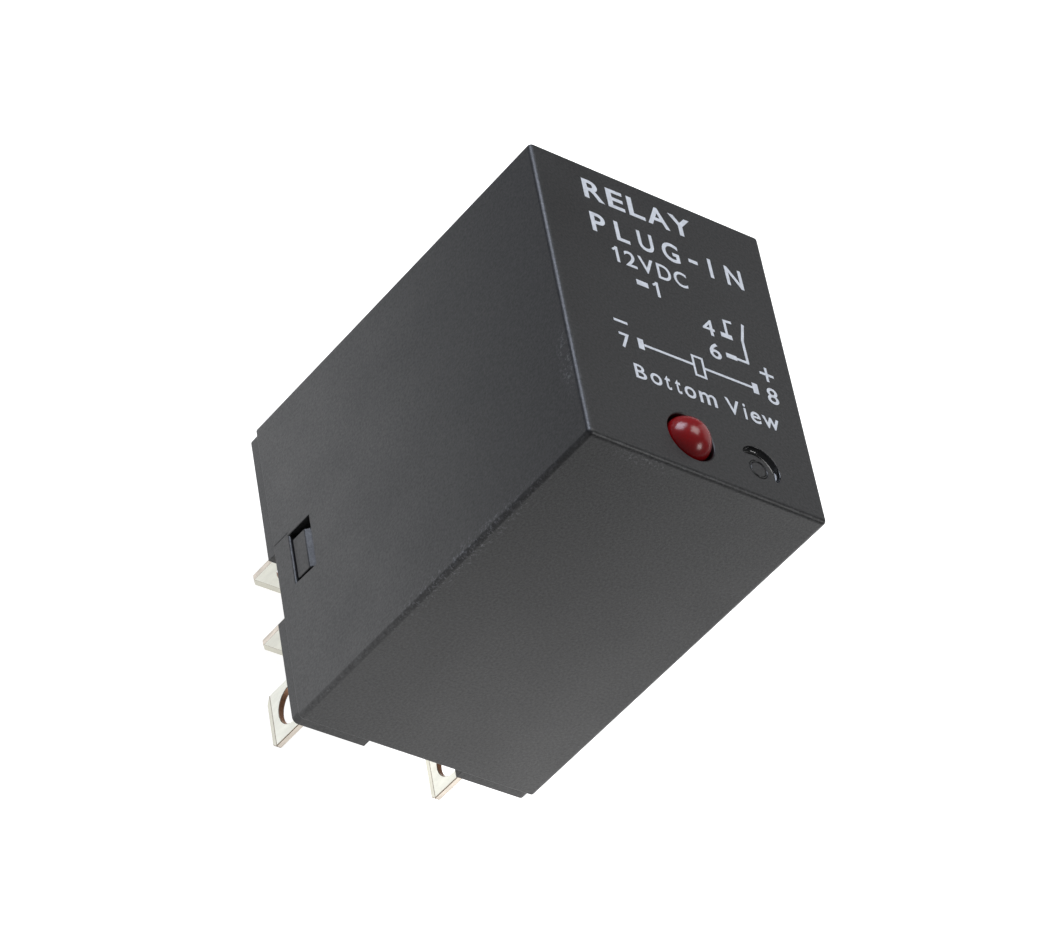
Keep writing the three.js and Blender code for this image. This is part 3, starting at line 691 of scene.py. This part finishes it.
def make_case():
    """The case: a round-edged box, hollowed, with its windows, lamp hole and marks."""
    s = bpy.context.scene.relay_cover
    edge, wall, roof, hole = (v / MM for v in (s.edge, s.wall, s.roof, s.lamp_hole))
    low, high = (-HALF_X, -HALF_Y, CASE_LOW - 4), (HALF_X, HALF_Y, CASE_TOP)
    shell = piece("case_shell", *round_box(low, high, edge), finish_of("moulded_pbt_case"), "cover")
    x, y = HALF_X - wall, HALF_Y - wall
    flat = lambda z: [[-20, -20, z], [20, -20, z], [20, 20, z], [-20, 20, z]]
    cutters = [
        loft([flat(CASE_LOW - 9), flat(CASE_LOW)]),
        round_box((-x, -y, -9), (x, y, CASE_TOP - roof), 0.3, 3),
        window_cutter(-1),
        window_cutter(1),
    ]
    # The lamp's hole, its mouth rounded by a quarter circle.
    turn, lip = np.radians(np.linspace(0, 90, 6)), 0.16
    mouth = [(hole + lip * (1 - math.cos(a)), CASE_TOP - lip + lip * math.sin(a)) for a in turn]
    profile = [(0, CASE_TOP - 3), (hole, CASE_TOP - 3)] + mouth
    profile += [(hole + lip, CASE_TOP + 1), (0, CASE_TOP + 1)]
    cutters.append(lathe(profile, LAMP_CENTRE, 72))
    # The crescent: height from the face, and how far its outline is drawn in there.
    steps = ((-0.45, 0.28), (-0.40, 0.16), (-0.28, 0.05), (-0.08, 0.0), (-0.03, -0.02),
             (0.001, -0.07), (0.5, -0.07))
    cutters.append(loft([
        at_height(crescent_ring(MARK_CENTRE, 1.6, 0.48 - e, -26 + 22 * e, 136 - 22 * e),
                  CASE_TOP + z) for z, e in steps]))
    # A mould-cavity ring beside the crescent and a parting step under the left window.
    ring = [(r, CASE_TOP + z) for r, z in ((0.66, -0.03), (0.80, -0.03), (0.80, 0.2), (0.66, 0.2))]
    cutters.append(lathe(ring, (4.95, -11.2), 40))
    groove = ((-0.2, 2.08), (0.07, 2.13), (0.07, 2.17), (-0.2, 2.28))
    cutters.append(loft([[[depth - HALF_X, y, z] for depth, y in groove] for z in (0.5, 2.85)]))
    cut_away(shell, cutters)
    tidy(shell, True, 38)
    step = shell.modifiers.new("rounded_edges", "BEVEL")
    step.width, step.segments = 0.05 * MM, 2
    step.limit_method, step.angle_limit = "ANGLE", math.radians(60)
    step.use_clamp_overlap = False
    even_normals(shell)
    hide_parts("cover")


# ---------------------------------------------------------------- printing


def glyph(letter, x0, x1, y0, y1, bold):
    """One printed character as flat points and faces, stretched to the box it fills."""
    curve = bpy.data.curves.new("glyph", "FONT")
    curve.body = letter
    curve.size = 1.0
    curve.offset = bold
    curve.resolution_u = 6
    curve.fill_mode = "BOTH"
    obj = bpy.data.objects.new("glyph", curve)
    bpy.context.scene.collection.objects.link(obj)
    bpy.context.view_layer.update()
    mesh = bpy.data.meshes.new_from_object(
        obj.evaluated_get(bpy.context.evaluated_depsgraph_get()))
    points = np.empty(len(mesh.vertices) * 3)
    mesh.vertices.foreach_get("co", points)
    points = points.reshape(-1, 3)[:, :2]
    faces = [list(p.vertices) for p in mesh.polygons]
    bpy.data.objects.remove(obj)
    bpy.data.curves.remove(curve)
    bpy.data.meshes.remove(mesh)
    low, high = points.min(0), points.max(0)
    span = np.where(high - low > 1e-6, high - low, 1.0)
    scaled = (points - low) / span * (x1 - x0, y1 - y0) + (x0, y0)
    return scaled, faces


def bar_shape(x0, y0, x1, y1, width):
    """A straight printed line with square ends: the two ends pushed out sideways."""
    a, b = np.array([x0, y0], float), np.array([x1, y1], float)
    side = (b - a)[::-1] * (-1, 1) / np.linalg.norm(b - a) * width / 2
    return np.array([a - side, b - side, b + side, a + side]), [[0, 1, 2, 3]]


def box_frame(x0, x1, y0, y1, width):
    """A printed rectangle drawn as a line: an outer and an inner ring with quads between."""
    outer = np.array([[x0, y0], [x1, y0], [x1, y1], [x0, y1]])
    inner = np.array([[x0 + width, y0 + width], [x1 - width, y0 + width],
                      [x1 - width, y1 - width], [x0 + width, y1 - width]])
    faces = [[i, (i + 1) % 4, 4 + (i + 1) % 4, 4 + i] for i in range(4)]
    return np.concatenate([outer, inner]), faces


def print_shapes():
    """All printed shapes on the top face, in millimetres from the face's middle."""
    text = lambda word, spans, y0, y1, bold: [
        glyph(c, a, b, y0, y1, bold) for c, (a, b) in zip(word, spans)]
    bars = lambda *lines: [bar_shape(*line) for line in lines]
    shapes = text("RELAY", [(-6.0, -4.15), (-3.8, -2.25), (-1.85, -0.35), (-0.1, 1.95),
                            (2.05, 4.1)], 10.75, 12.65, 0.02)
    shapes += text("PLUG", [(-5.95, -4.6), (-3.72, -2.5), (-1.62, -0.2), (0.62, 2.2)],
                   7.45, 9.35, 0.018)
    shapes += bars((3.1, 8.35, 3.95, 8.35, 0.34))
    shapes += text("IN", [(5.02, 5.34), (6.62, 8.2)], 7.45, 9.35, 0.018)
    shapes += text("2VDC", [(-3.4, -2.35), (-2.1, -0.7), (-0.4, 0.87), (1.15, 2.38)],
                   5.1, 6.62, 0.012)
    # Each figure 1 is a stem and a flag.
    for x, low, high in ((-3.95, 5.1, 6.62), (-0.68, 3.02, 4.5)):
        shapes += bars((x - 0.13, low, x - 0.13, high, 0.26),
                       (x - 0.16, high - 0.14, x - 0.52, high - 0.42, 0.2))
    shapes += bars((-2.77, 3.75, -1.7, 3.75, 0.5))
    shapes += text("4", [(2.88, 4.0)], 1.15, 2.68, 0.012)
    shapes += text("6", [(3.02, 4.08)], -1.14, 0.4, 0.012)
    shapes += text("7", [(-5.75, -4.82)], -3.72, -2.28, 0.012)
    shapes += text("8", [(7.82, 8.86)], -3.6, -2.05, 0.012)
    # Minus and plus.
    shapes += bars((-5.95, -1.17, -4.7, -1.17, 0.24), (7.6, -0.78, 8.92, -0.78, 0.24),
                   (8.26, -1.46, 8.26, -0.1, 0.24))
    # Drive element between 7 and 8: two end marks, a line and a box on it.
    shapes += bars((-3.8, -3.2, -3.8, -2.2, 0.52), (6.75, -3.2, 6.75, -2.2, 0.52),
                   (-3.5, -2.7, 0.95, -2.7, 0.22), (2.05, -2.7, 6.5, -2.7, 0.22))
    shapes.append(box_frame(0.95, 2.05, -3.75, -1.7, 0.2))
    # Make contact: the fixed side at 4, then the lead and the lever at 6.
    shapes += bars((4.58, 1.72, 5.65, 1.72, 0.44), (5.2, 1.9, 5.2, 3.3, 0.24),
                   (5.1, 3.22, 5.9, 3.3, 0.24), (4.6, -0.3, 5.6, -0.3, 0.44),
                   (5.55, -0.3, 6.72, -0.3, 0.24), (6.63, -0.38, 6.63, 1.85, 0.25),
                   (6.6, 1.75, 7.05, 3.6, 0.25))
    low, tall, bold = -6.3, -5.22, 0.012
    shapes += text("B", [(-5.0, -3.98)], low, -4.95, bold)
    shapes += text("oom", [(-3.62, -2.58), (-0.52, 0.52), (0.85, 2.42)], low, tall, bold)
    shapes += text("tt", [(-2.28, -1.75), (-1.33, -0.82)], low, -4.98, bold)
    shapes += text("V", [(3.32, 4.6)], low, -4.85, bold)
    shapes += text("i", [(4.97, 5.2)], low, -4.8, bold)
    shapes += text("ew", [(5.56, 6.5), (6.68, 8.25)], low, tall, bold)
    return shapes


def make_print():
    """The pad print: every shape turned a little about the face's middle and laid on it, a
    thousandth of a millimetre above the one before, so that crossing lines don't coincide."""
    s = bpy.context.scene.relay_print
    spin = np.array([[math.cos(s.turn), -math.sin(s.turn)], [math.sin(s.turn), math.cos(s.turn)]])
    shift = (-0.22, -0.27)
    verts, faces, count = [], [], 0
    for number, (points, polygons) in enumerate(print_shapes()):
        flat = np.asarray(points, float) @ spin.T + shift
        verts.append(at_height(flat, CASE_TOP + 0.002 + 0.001 * (number % 4)))
        faces += [[count + i for i in f] for f in polygons]
        count += len(flat)
    ink = surface("pad_print_ink", s.ink, 0.55, 0, 0.18, 0.004, 0.1, 0.5)
    obj = piece("face_print", np.concatenate(verts), faces, ink, "cover", smooth=False)
    mesh = obj.data
    bm = bmesh.new()
    bm.from_mesh(mesh)
    for face in bm.faces:
        if face.normal.z < 0:
            face.normal_flip()
    bm.to_mesh(mesh)
    bm.free()
    step = obj.modifiers.new("ink_film", "SOLIDIFY")
    step.thickness, step.offset = s.thickness, 1.0


# ---------------------------------------------------------------- lamp


def make_lamp():
    """The indicator: a flanged resin body with a hemispherical dome, and its two leads."""
    apex, r, rise = 37.15, 1.87, 0.95
    turn = np.linspace(0, np.pi / 2, 22)[:-1]
    profile = [(0, 30.65), (2.0, 30.65), (2.08, 30.75), (2.08, 31.4), (2.0, 31.5), (r, 31.52)]
    profile += [(r * math.cos(a), apex - rise * r * (1 - math.sin(a))) for a in turn]
    profile.append((0, apex))
    dome = piece("lamp_resin", *lathe(profile, LAMP_CENTRE, 72), finish_of("red_epoxy"))
    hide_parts("indicator_dome")
    square = [(-0.22, -0.22), (0.22, -0.22), (0.22, 0.22), (-0.22, 0.22)]
    for side, node in ((-1, "indicator_lead_left"), (1, "indicator_lead_right")):
        x, y = LAMP_CENTRE[0] + side * 1.27, LAMP_CENTRE[1]
        path = eased([(x, y, 30.6), (x, y, 26.75), (x, -6.7, 26.75)], 0.7)
        lead = piece(node + "_wire", *along(path, square), finish_of("tinned_wire"))
        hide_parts(node)


# ---------------------------------------------------------------- base and blades


def make_base():
    """The base and its two latch tongues, with moulded edges."""
    plastic = finish_of("moulded_pbt_base")
    obj = softened("base", plastic, 0.1)
    for side in ("latch_left", "latch_right"):
        softened(side, plastic, 0.06, side)


def make_blades():
    """The four stamped blades: tin on the rolled faces, smeared thin over the sheared edges
    and coined tips, with bare alloy inside the eye."""
    tin = finish_of("tinned_copper")
    bare = tuple(finish_of(n) for n in (
        "smeared_edge", "sheared_copper", "coined_tin", "worn_corner"))
    for node, axis in (("terminal_4", 1), ("terminal_6", 1), ("terminal_7", 0), ("terminal_8", 0)):
        blade = softened(node, tin, 0.06, cut=(axis,) + bare, segments=1)


# ---------------------------------------------------------------- boards and small parts


def make_boards():
    """The two boards, the barrier between input and output, and the link pins."""
    for node in ("base_board", "control_board"):
        softened(node, finish_of("solder_mask_board"), 0.04)
    for node in ("isolation_barrier", "relay_block"):
        softened(node, finish_of("fibre_sheet"), 0.08)
    for node in ("link_pin_left", "link_pin_middle", "link_pin_right"):
        softened(node, finish_of("tinned_wire"), 0.06)
    joints = [(-5.0, 5.6), (-5.0, -0.75), (7.3, -8.3), (-7.3, -8.3), (-2.54, 8.5), (0, 8.5),
              (2.54, 8.5), (7.5, 2.0)]
    t = np.linspace(0, 1, 8)
    shape = [(0.0, 8.02)] + [(1.15 * (1 - 0.6 * u**0.6), 8.02 + 0.75 * u) for u in t] + [(0.0, 8.8)]
    for i, centre in enumerate(joints):
        drop = piece(f"solder_joint_{i + 1}", *lathe(shape, centre, 28), finish_of("solder"))


def make_small_parts():
    """The leaded parts on the control board, each with its own finish and wires."""
    plan = [
        ("optocoupler", "black_epoxy", "black_epoxy", 0.18),
        ("input_resistor", "carbon_resistor", "tan_lacquer", 0.0),
        ("protection_diode", "banded_diode", "black_epoxy", 0.0),
        ("input_capacitor", "blue_sleeve", "blue_sleeve", 0.12),
        ("drive_transistor", "black_epoxy", "black_epoxy", 0.15),
        ("snubber_capacitor", "film_box", "yellow_box", 0.0),
        ("snubber_resistor", "cement_resistor", "grey_ceramic", 0.0),
        ("surge_disc", "dipped_lacquer", "blue_sleeve", 0.3),
    ]
    for node, finish, slot, width in plan:
        softened(node, finish_of(finish), width)
    wire, metal = circle(0.24), finish_of("tinned_wire")
    routes = {
        "resistor_wire_low": [(-6.2, -8.4, 11.7), (-6.2, -8.4, 10.7), (-6.2, -6.7, 10.7)],
        "resistor_wire_high": [(-6.2, -8.4, 19.3), (-6.2, -8.4, 20.2), (-6.2, -6.7, 20.2)],
        "diode_wire_low": [(-2.6, -8.3, 11.7), (-2.6, -8.3, 10.7), (-2.6, -6.7, 10.7)],
        "diode_wire_high": [(-2.6, -8.3, 17.5), (-2.6, -8.3, 18.6), (-2.6, -6.7, 18.6)],
        "disc_wire_low": [(6.3, -4.0, 25.9), (6.3, -4.6, 25.4), (6.3, -5.5, 25.4)],
        "disc_wire_high": [(6.3, -4.0, 33.2), (6.3, -4.6, 33.3), (6.3, -5.5, 33.3)],
        "capacitor_wire_left": [(-6.6, -9.6, 21.6), (-6.6, -9.6, 20.9), (-6.6, -6.7, 20.9)],
        "capacitor_wire_right": [(-4.6, -9.6, 21.6), (-4.6, -9.6, 20.9), (-4.6, -6.7, 20.9)],
        "transistor_wire_left": [(2.93, -8.6, 22.3), (2.93, -8.6, 21.3), (2.93, -6.7, 21.3)],
        "transistor_wire_middle": [(4.2, -8.9, 22.3), (4.2, -8.9, 20.9), (4.2, -6.7, 20.9)],
        "transistor_wire_right": [(5.47, -8.6, 22.3), (5.47, -8.6, 21.3), (5.47, -6.7, 21.3)],
    }
    for name, route in routes.items():
        piece(name, *along(eased(route, 0.35), wire), metal)
    leg = [(-0.12, -0.35), (0.12, -0.35), (0.12, 0.35), (-0.12, 0.35)]
    for side, x in ((-1, 0.4), (1, 6.8)):
        for k in range(3):
            z = 16.3 + (k - 1) * 2.54
            route = [(x, -8.4, z), (x + side * 0.45, -8.4, z), (x + side * 0.45, -6.65, z)]
            name = f"coupler_leg_{'left' if side < 0 else 'right'}_{k + 1}"
            piece(name, *along(eased(route, 0.25), leg), metal)


# ---------------------------------------------------------------- electromagnet


def make_winding():
    """The coil: an outer wall of stacked turns, its radius falling by a third of a wire
    between turns, r = R - d (1 - |sin(pi z / pitch)|), closed by its inner wall."""
    cx, cy, outer, low, high, pitch = -1.5, 2.0, 3.95, 12.12, 20.38, 0.26
    z = np.linspace(low, high, 260)
    r = outer - 0.075 * (1 - np.abs(np.sin(np.pi * (z - low) / pitch)))
    profile = np.concatenate([[(2.56, low)], np.stack([r, z], 1), [(2.56, high)]])
    coil = piece("coil_winding", *lathe(profile, (cx, cy), 64), finish_of("enamelled_copper"),
                 sharp=80)
    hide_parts("winding")


def make_electromagnet():
    """Yoke, core, bobbin and coil, the armature with its leaf and contacts."""
    iron, bronze = finish_of("zinc_plated_iron"), finish_of("phosphor_bronze")
    silver = finish_of("silver_alloy")
    for node, width in (("yoke", 0.12), ("core", 0.08)):
        softened(node, iron, width)
    softened("bobbin", finish_of("glass_filled_nylon"), 0.08)
    softened("armature", iron, 0.1, "armature")
    softened("contact_spring", bronze, 0.04, "armature")
    for node in ("moving_contact", "spring_rivet_left", "spring_rivet_right"):
        softened(node, silver, 0.04, "armature")
    softened("fixed_contact", silver, 0.04)
    for node in ("fixed_contact_post", "return_leaf", "strap_4", "strap_6"):
        softened(node, bronze, 0.05)
    make_winding()


def make_switch():
    """The semiconductor switch, its pad, screw and heat spreader."""
    plan = [
        ("heat_spreader", "blasted_aluminium", "heat_aluminium", 0.12),
        ("thermal_pad", "silicone_sheet", "pad_silicone", 0.0),
        ("switch_tab", "nickel_plate", "switch_metal", 0.08),
        ("switch_body", "black_epoxy", "black_epoxy", 0.15),
        ("clamp_screw", "zinc_plated_iron", "soft_iron", 0.1),
        ("switch_lead_left", "tinned_wire", "tinned_wire", 0.05),
        ("switch_lead_middle", "tinned_wire", "tinned_wire", 0.05),
        ("switch_lead_right", "tinned_wire", "tinned_wire", 0.05),
    ]
    for node, finish, slot, width in plan:
        softened(node, finish_of(finish), width)


# ---------------------------------------------------------------- stage


def area_light(name, place, size, power, colour="#ffffff"):
    """A square soft box at a place in millimetres, turned to the middle of the case."""
    data = bpy.data.lights.new(name, "AREA")
    data.shape, data.size = "SQUARE", size * MM
    data.energy, data.color = power, linear(colour)
    obj = bpy.data.objects.new(name, data)
    bpy.context.scene.collection.objects.link(obj)
    place, aim = Vector(place) * MM, Vector((0, 0, CASE_TOP / 2)) * MM
    turn = (place - aim).to_track_quat("Z", "Y").to_matrix().to_4x4()
    obj.matrix_world = Matrix.Translation(place) @ turn


def make_camera(s):
    """The camera stands off its aim along the view direction and is rolled about it: back is
    (sin a cos e, -cos a cos e, sin e), side is level, and the pair side, up turns by roll."""
    a, e, r = s.azimuth, s.elevation, s.roll
    back = Vector((math.sin(a) * math.cos(e), -math.cos(a) * math.cos(e), math.sin(e)))
    side = Vector((math.cos(a), math.sin(a), 0))
    up = back.cross(side)
    right = side * math.cos(r) - up * math.sin(r)
    top = up * math.cos(r) + side * math.sin(r)
    data = bpy.data.cameras.new("camera")
    data.sensor_width, data.lens = 36.0, s.lens
    data.clip_start, data.clip_end = 0.01, 20
    obj = bpy.data.objects.new("camera", data)
    bpy.context.scene.collection.objects.link(obj)
    aim = Vector((-0.257, 0.466, 18.293)) * MM
    turn = Matrix((right, top, back)).transposed().to_4x4()
    obj.matrix_world = Matrix.Translation(aim + back * s.distance) @ turn
    bpy.context.scene.camera = obj


def make_stage():
    """A plain pale sheet lit from below, under the blade tips, an even sky and four soft
    boxes. Its glow falls off outside the picture, towards the camera and the left."""
    s = bpy.context.scene.relay_stage
    floor_z = float(CAD_BOX[0][2]) / MM - 0.02
    line = np.linspace(-3000, 3000, 25)
    x, y = np.meshgrid(line, line, indexing="ij")
    points = np.stack([x, y, np.full_like(x, floor_z)], -1).reshape(-1, 3)
    floor = linked("studio_floor", points, grid_faces(len(line), len(line)))
    made, tree, place = start("lit_opal_sheet")
    fibre = add(tree, "ShaderNodeTexNoise", {"Vector": place, "Scale": 60.0})
    bump = add(tree, "ShaderNodeBump", {"Height": fibre.outputs["Fac"], "Distance": 0.0001})
    # Each ramp rises along a direction, between two distances in millimetres, from one glow to
    # another: the left border, the near border, the near right field, and two whose product
    # brightens the stretch just before the front wall.
    ramps = []
    for across, low, high, least, most in (
            ((1, -0.09, 0), -45, -30, 0.02, s.pool), ((0, 1, 0), -61, -33, 0.0, 1.0),
            ((1.4, 1, 0), -9, 6, 0.0, 1.1), ((0.5, 1, 0), -27, -14, 0.0, 0.45),
            ((1, 0, 0), -8, 12, 0.0, 1.0)):
        away = add(tree, "ShaderNodeVectorMath", {0: place, 1: across}, operation="DOT_PRODUCT")
        ramps.append(add(tree, "ShaderNodeMapRange", {
            "Value": away.outputs["Value"], "From Min": low * MM, "From Max": high * MM,
            "To Min": least, "To Max": most}, interpolation_type="SMOOTHSTEP").outputs[0])
    near = add(tree, "ShaderNodeMath", {0: ramps[1], 1: ramps[2]}, operation="MAXIMUM")
    lit = add(tree, "ShaderNodeMath", {0: ramps[0], 1: near.outputs[0]}, operation="MULTIPLY")
    extra = add(tree, "ShaderNodeMath", {0: ramps[3], 1: ramps[4], 2: 0.95},
                operation="MULTIPLY_ADD")
    pool = add(tree, "ShaderNodeMath", {0: lit.outputs[0], 1: extra.outputs[0]},
               operation="MULTIPLY")
    shader = add(tree, "ShaderNodeBsdfPrincipled", {
        "Base Color": tone(s.floor, 0.35), "Roughness": 0.9, "Normal": bump.outputs[0],
        "Emission Color": tone(s.floor, 1.0), "Emission Strength": pool.outputs[0]})
    close(tree, shader)
    floor.data.materials.append(made)
    world = bpy.data.worlds.new("studio_sky")
    bpy.context.scene.world = world
    world.use_nodes = True
    sky = world.node_tree.nodes["Background"]
    sky.inputs["Color"].default_value = tone(linear("#f4f6fa"), 1.0)
    sky.inputs["Strength"].default_value = s.sky
    area_light("box_far_left", (-330, 384, 340), 330, 2.2, "#e6eeff")
    area_light("box_far_right", (230, 130, 160), 220, 0.07)
    area_light("box_front_right", (265, -275, 335), 150, 0.36)
    area_light("box_top", (60, 160, 520), 260, 0.8)
    bpy.context.scene.view_settings.view_transform = "Standard"
    make_camera(s)


# ---------------------------------------------------------------- operators


class RELAY_OT_case(bpy.types.Operator):
    """Makes the moulded case with its windows, lamp hole and crescent"""

    bl_idname = "relay.case"
    bl_label = "Case"

    def execute(self, context):
        make_case()
        return {"FINISHED"}


class RELAY_OT_print(bpy.types.Operator):
    """Makes the printed rating, pin numbers and diagram"""

    bl_idname = "relay.print"
    bl_label = "Face print"

    def execute(self, context):
        make_print()
        return {"FINISHED"}


class RELAY_OT_lamp(bpy.types.Operator):
    """Makes the red indicator and its leads"""

    bl_idname = "relay.lamp"
    bl_label = "Indicator"

    def execute(self, context):
        make_lamp()
        return {"FINISHED"}


class RELAY_OT_base(bpy.types.Operator):
    """Makes the base and its latch tongues"""

    bl_idname = "relay.base"
    bl_label = "Base and latches"

    def execute(self, context):
        make_base()
        return {"FINISHED"}


class RELAY_OT_blades(bpy.types.Operator):
    """Makes the four blades"""

    bl_idname = "relay.blades"
    bl_label = "Blades"

    def execute(self, context):
        make_blades()
        return {"FINISHED"}


class RELAY_OT_boards(bpy.types.Operator):
    """Makes the boards, barrier, pins and solder joints"""

    bl_idname = "relay.boards"
    bl_label = "Boards"

    def execute(self, context):
        make_boards()
        return {"FINISHED"}


class RELAY_OT_small_parts(bpy.types.Operator):
    """Makes the leaded circuit parts and their wires"""

    bl_idname = "relay.small_parts"
    bl_label = "Small parts"

    def execute(self, context):
        make_small_parts()
        return {"FINISHED"}


class RELAY_OT_electromagnet(bpy.types.Operator):
    """Makes the electromagnet and its contacts"""

    bl_idname = "relay.electromagnet"
    bl_label = "Electromagnet"

    def execute(self, context):
        make_electromagnet()
        return {"FINISHED"}


class RELAY_OT_switch(bpy.types.Operator):
    """Makes the semiconductor switch and its heat spreader"""

    bl_idname = "relay.switch"
    bl_label = "Semiconductor switch"

    def execute(self, context):
        make_switch()
        return {"FINISHED"}


class RELAY_OT_stage(bpy.types.Operator):
    """Makes the floor, lights and camera"""

    bl_idname = "relay.stage"
    bl_label = "Stage"

    def execute(self, context):
        make_stage()
        return {"FINISHED"}


OPERATORS = (RELAY_OT_case, RELAY_OT_print, RELAY_OT_lamp, RELAY_OT_base, RELAY_OT_blades,
             RELAY_OT_boards, RELAY_OT_small_parts, RELAY_OT_electromagnet, RELAY_OT_switch,
             RELAY_OT_stage)


class RELAY_PT_panel(bpy.types.Panel):
    """Lists the pieces and their settings"""

    bl_idname = "RELAY_PT_panel"
    bl_label = "Plug-in relay"
    bl_space_type = "VIEW_3D"
    bl_region_type = "UI"
    bl_category = "Relay"

    def draw(self, context):
        column = self.layout.column()
        for operator in OPERATORS:
            column.operator(operator.bl_idname)
        for group in (context.scene.relay_cover, context.scene.relay_print,
                      context.scene.relay_parts, context.scene.relay_stage):
            for key in group.__annotations__:
                column.prop(group, key)


GROUPS = {
    "relay_cover": RelayCoverSettings,
    "relay_print": RelayPrintSettings,
    "relay_parts": RelayPartSettings,
    "relay_stage": RelayStageSettings,
}


def register():
    """Registers the settings, operators and panel."""
    for name, group in GROUPS.items():
        bpy.utils.register_class(group)
        setattr(bpy.types.Scene, name, PointerProperty(type=group))
    for made in OPERATORS + (RELAY_PT_panel,):
        bpy.utils.register_class(made)


def unregister():
    """Takes everything out again."""
    for made in (RELAY_PT_panel,) + OPERATORS[::-1]:
        bpy.utils.unregister_class(made)
    for name, group in GROUPS.items():
        delattr(bpy.types.Scene, name)
        bpy.utils.unregister_class(group)


def main():
    """Builds every piece in order."""
    register()
    for step in ("case", "print", "lamp", "base", "blades", "boards", "small_parts",
                 "electromagnet", "switch", "stage"):
        getattr(bpy.ops.relay, step)()


if __name__ == "__main__":
    main()
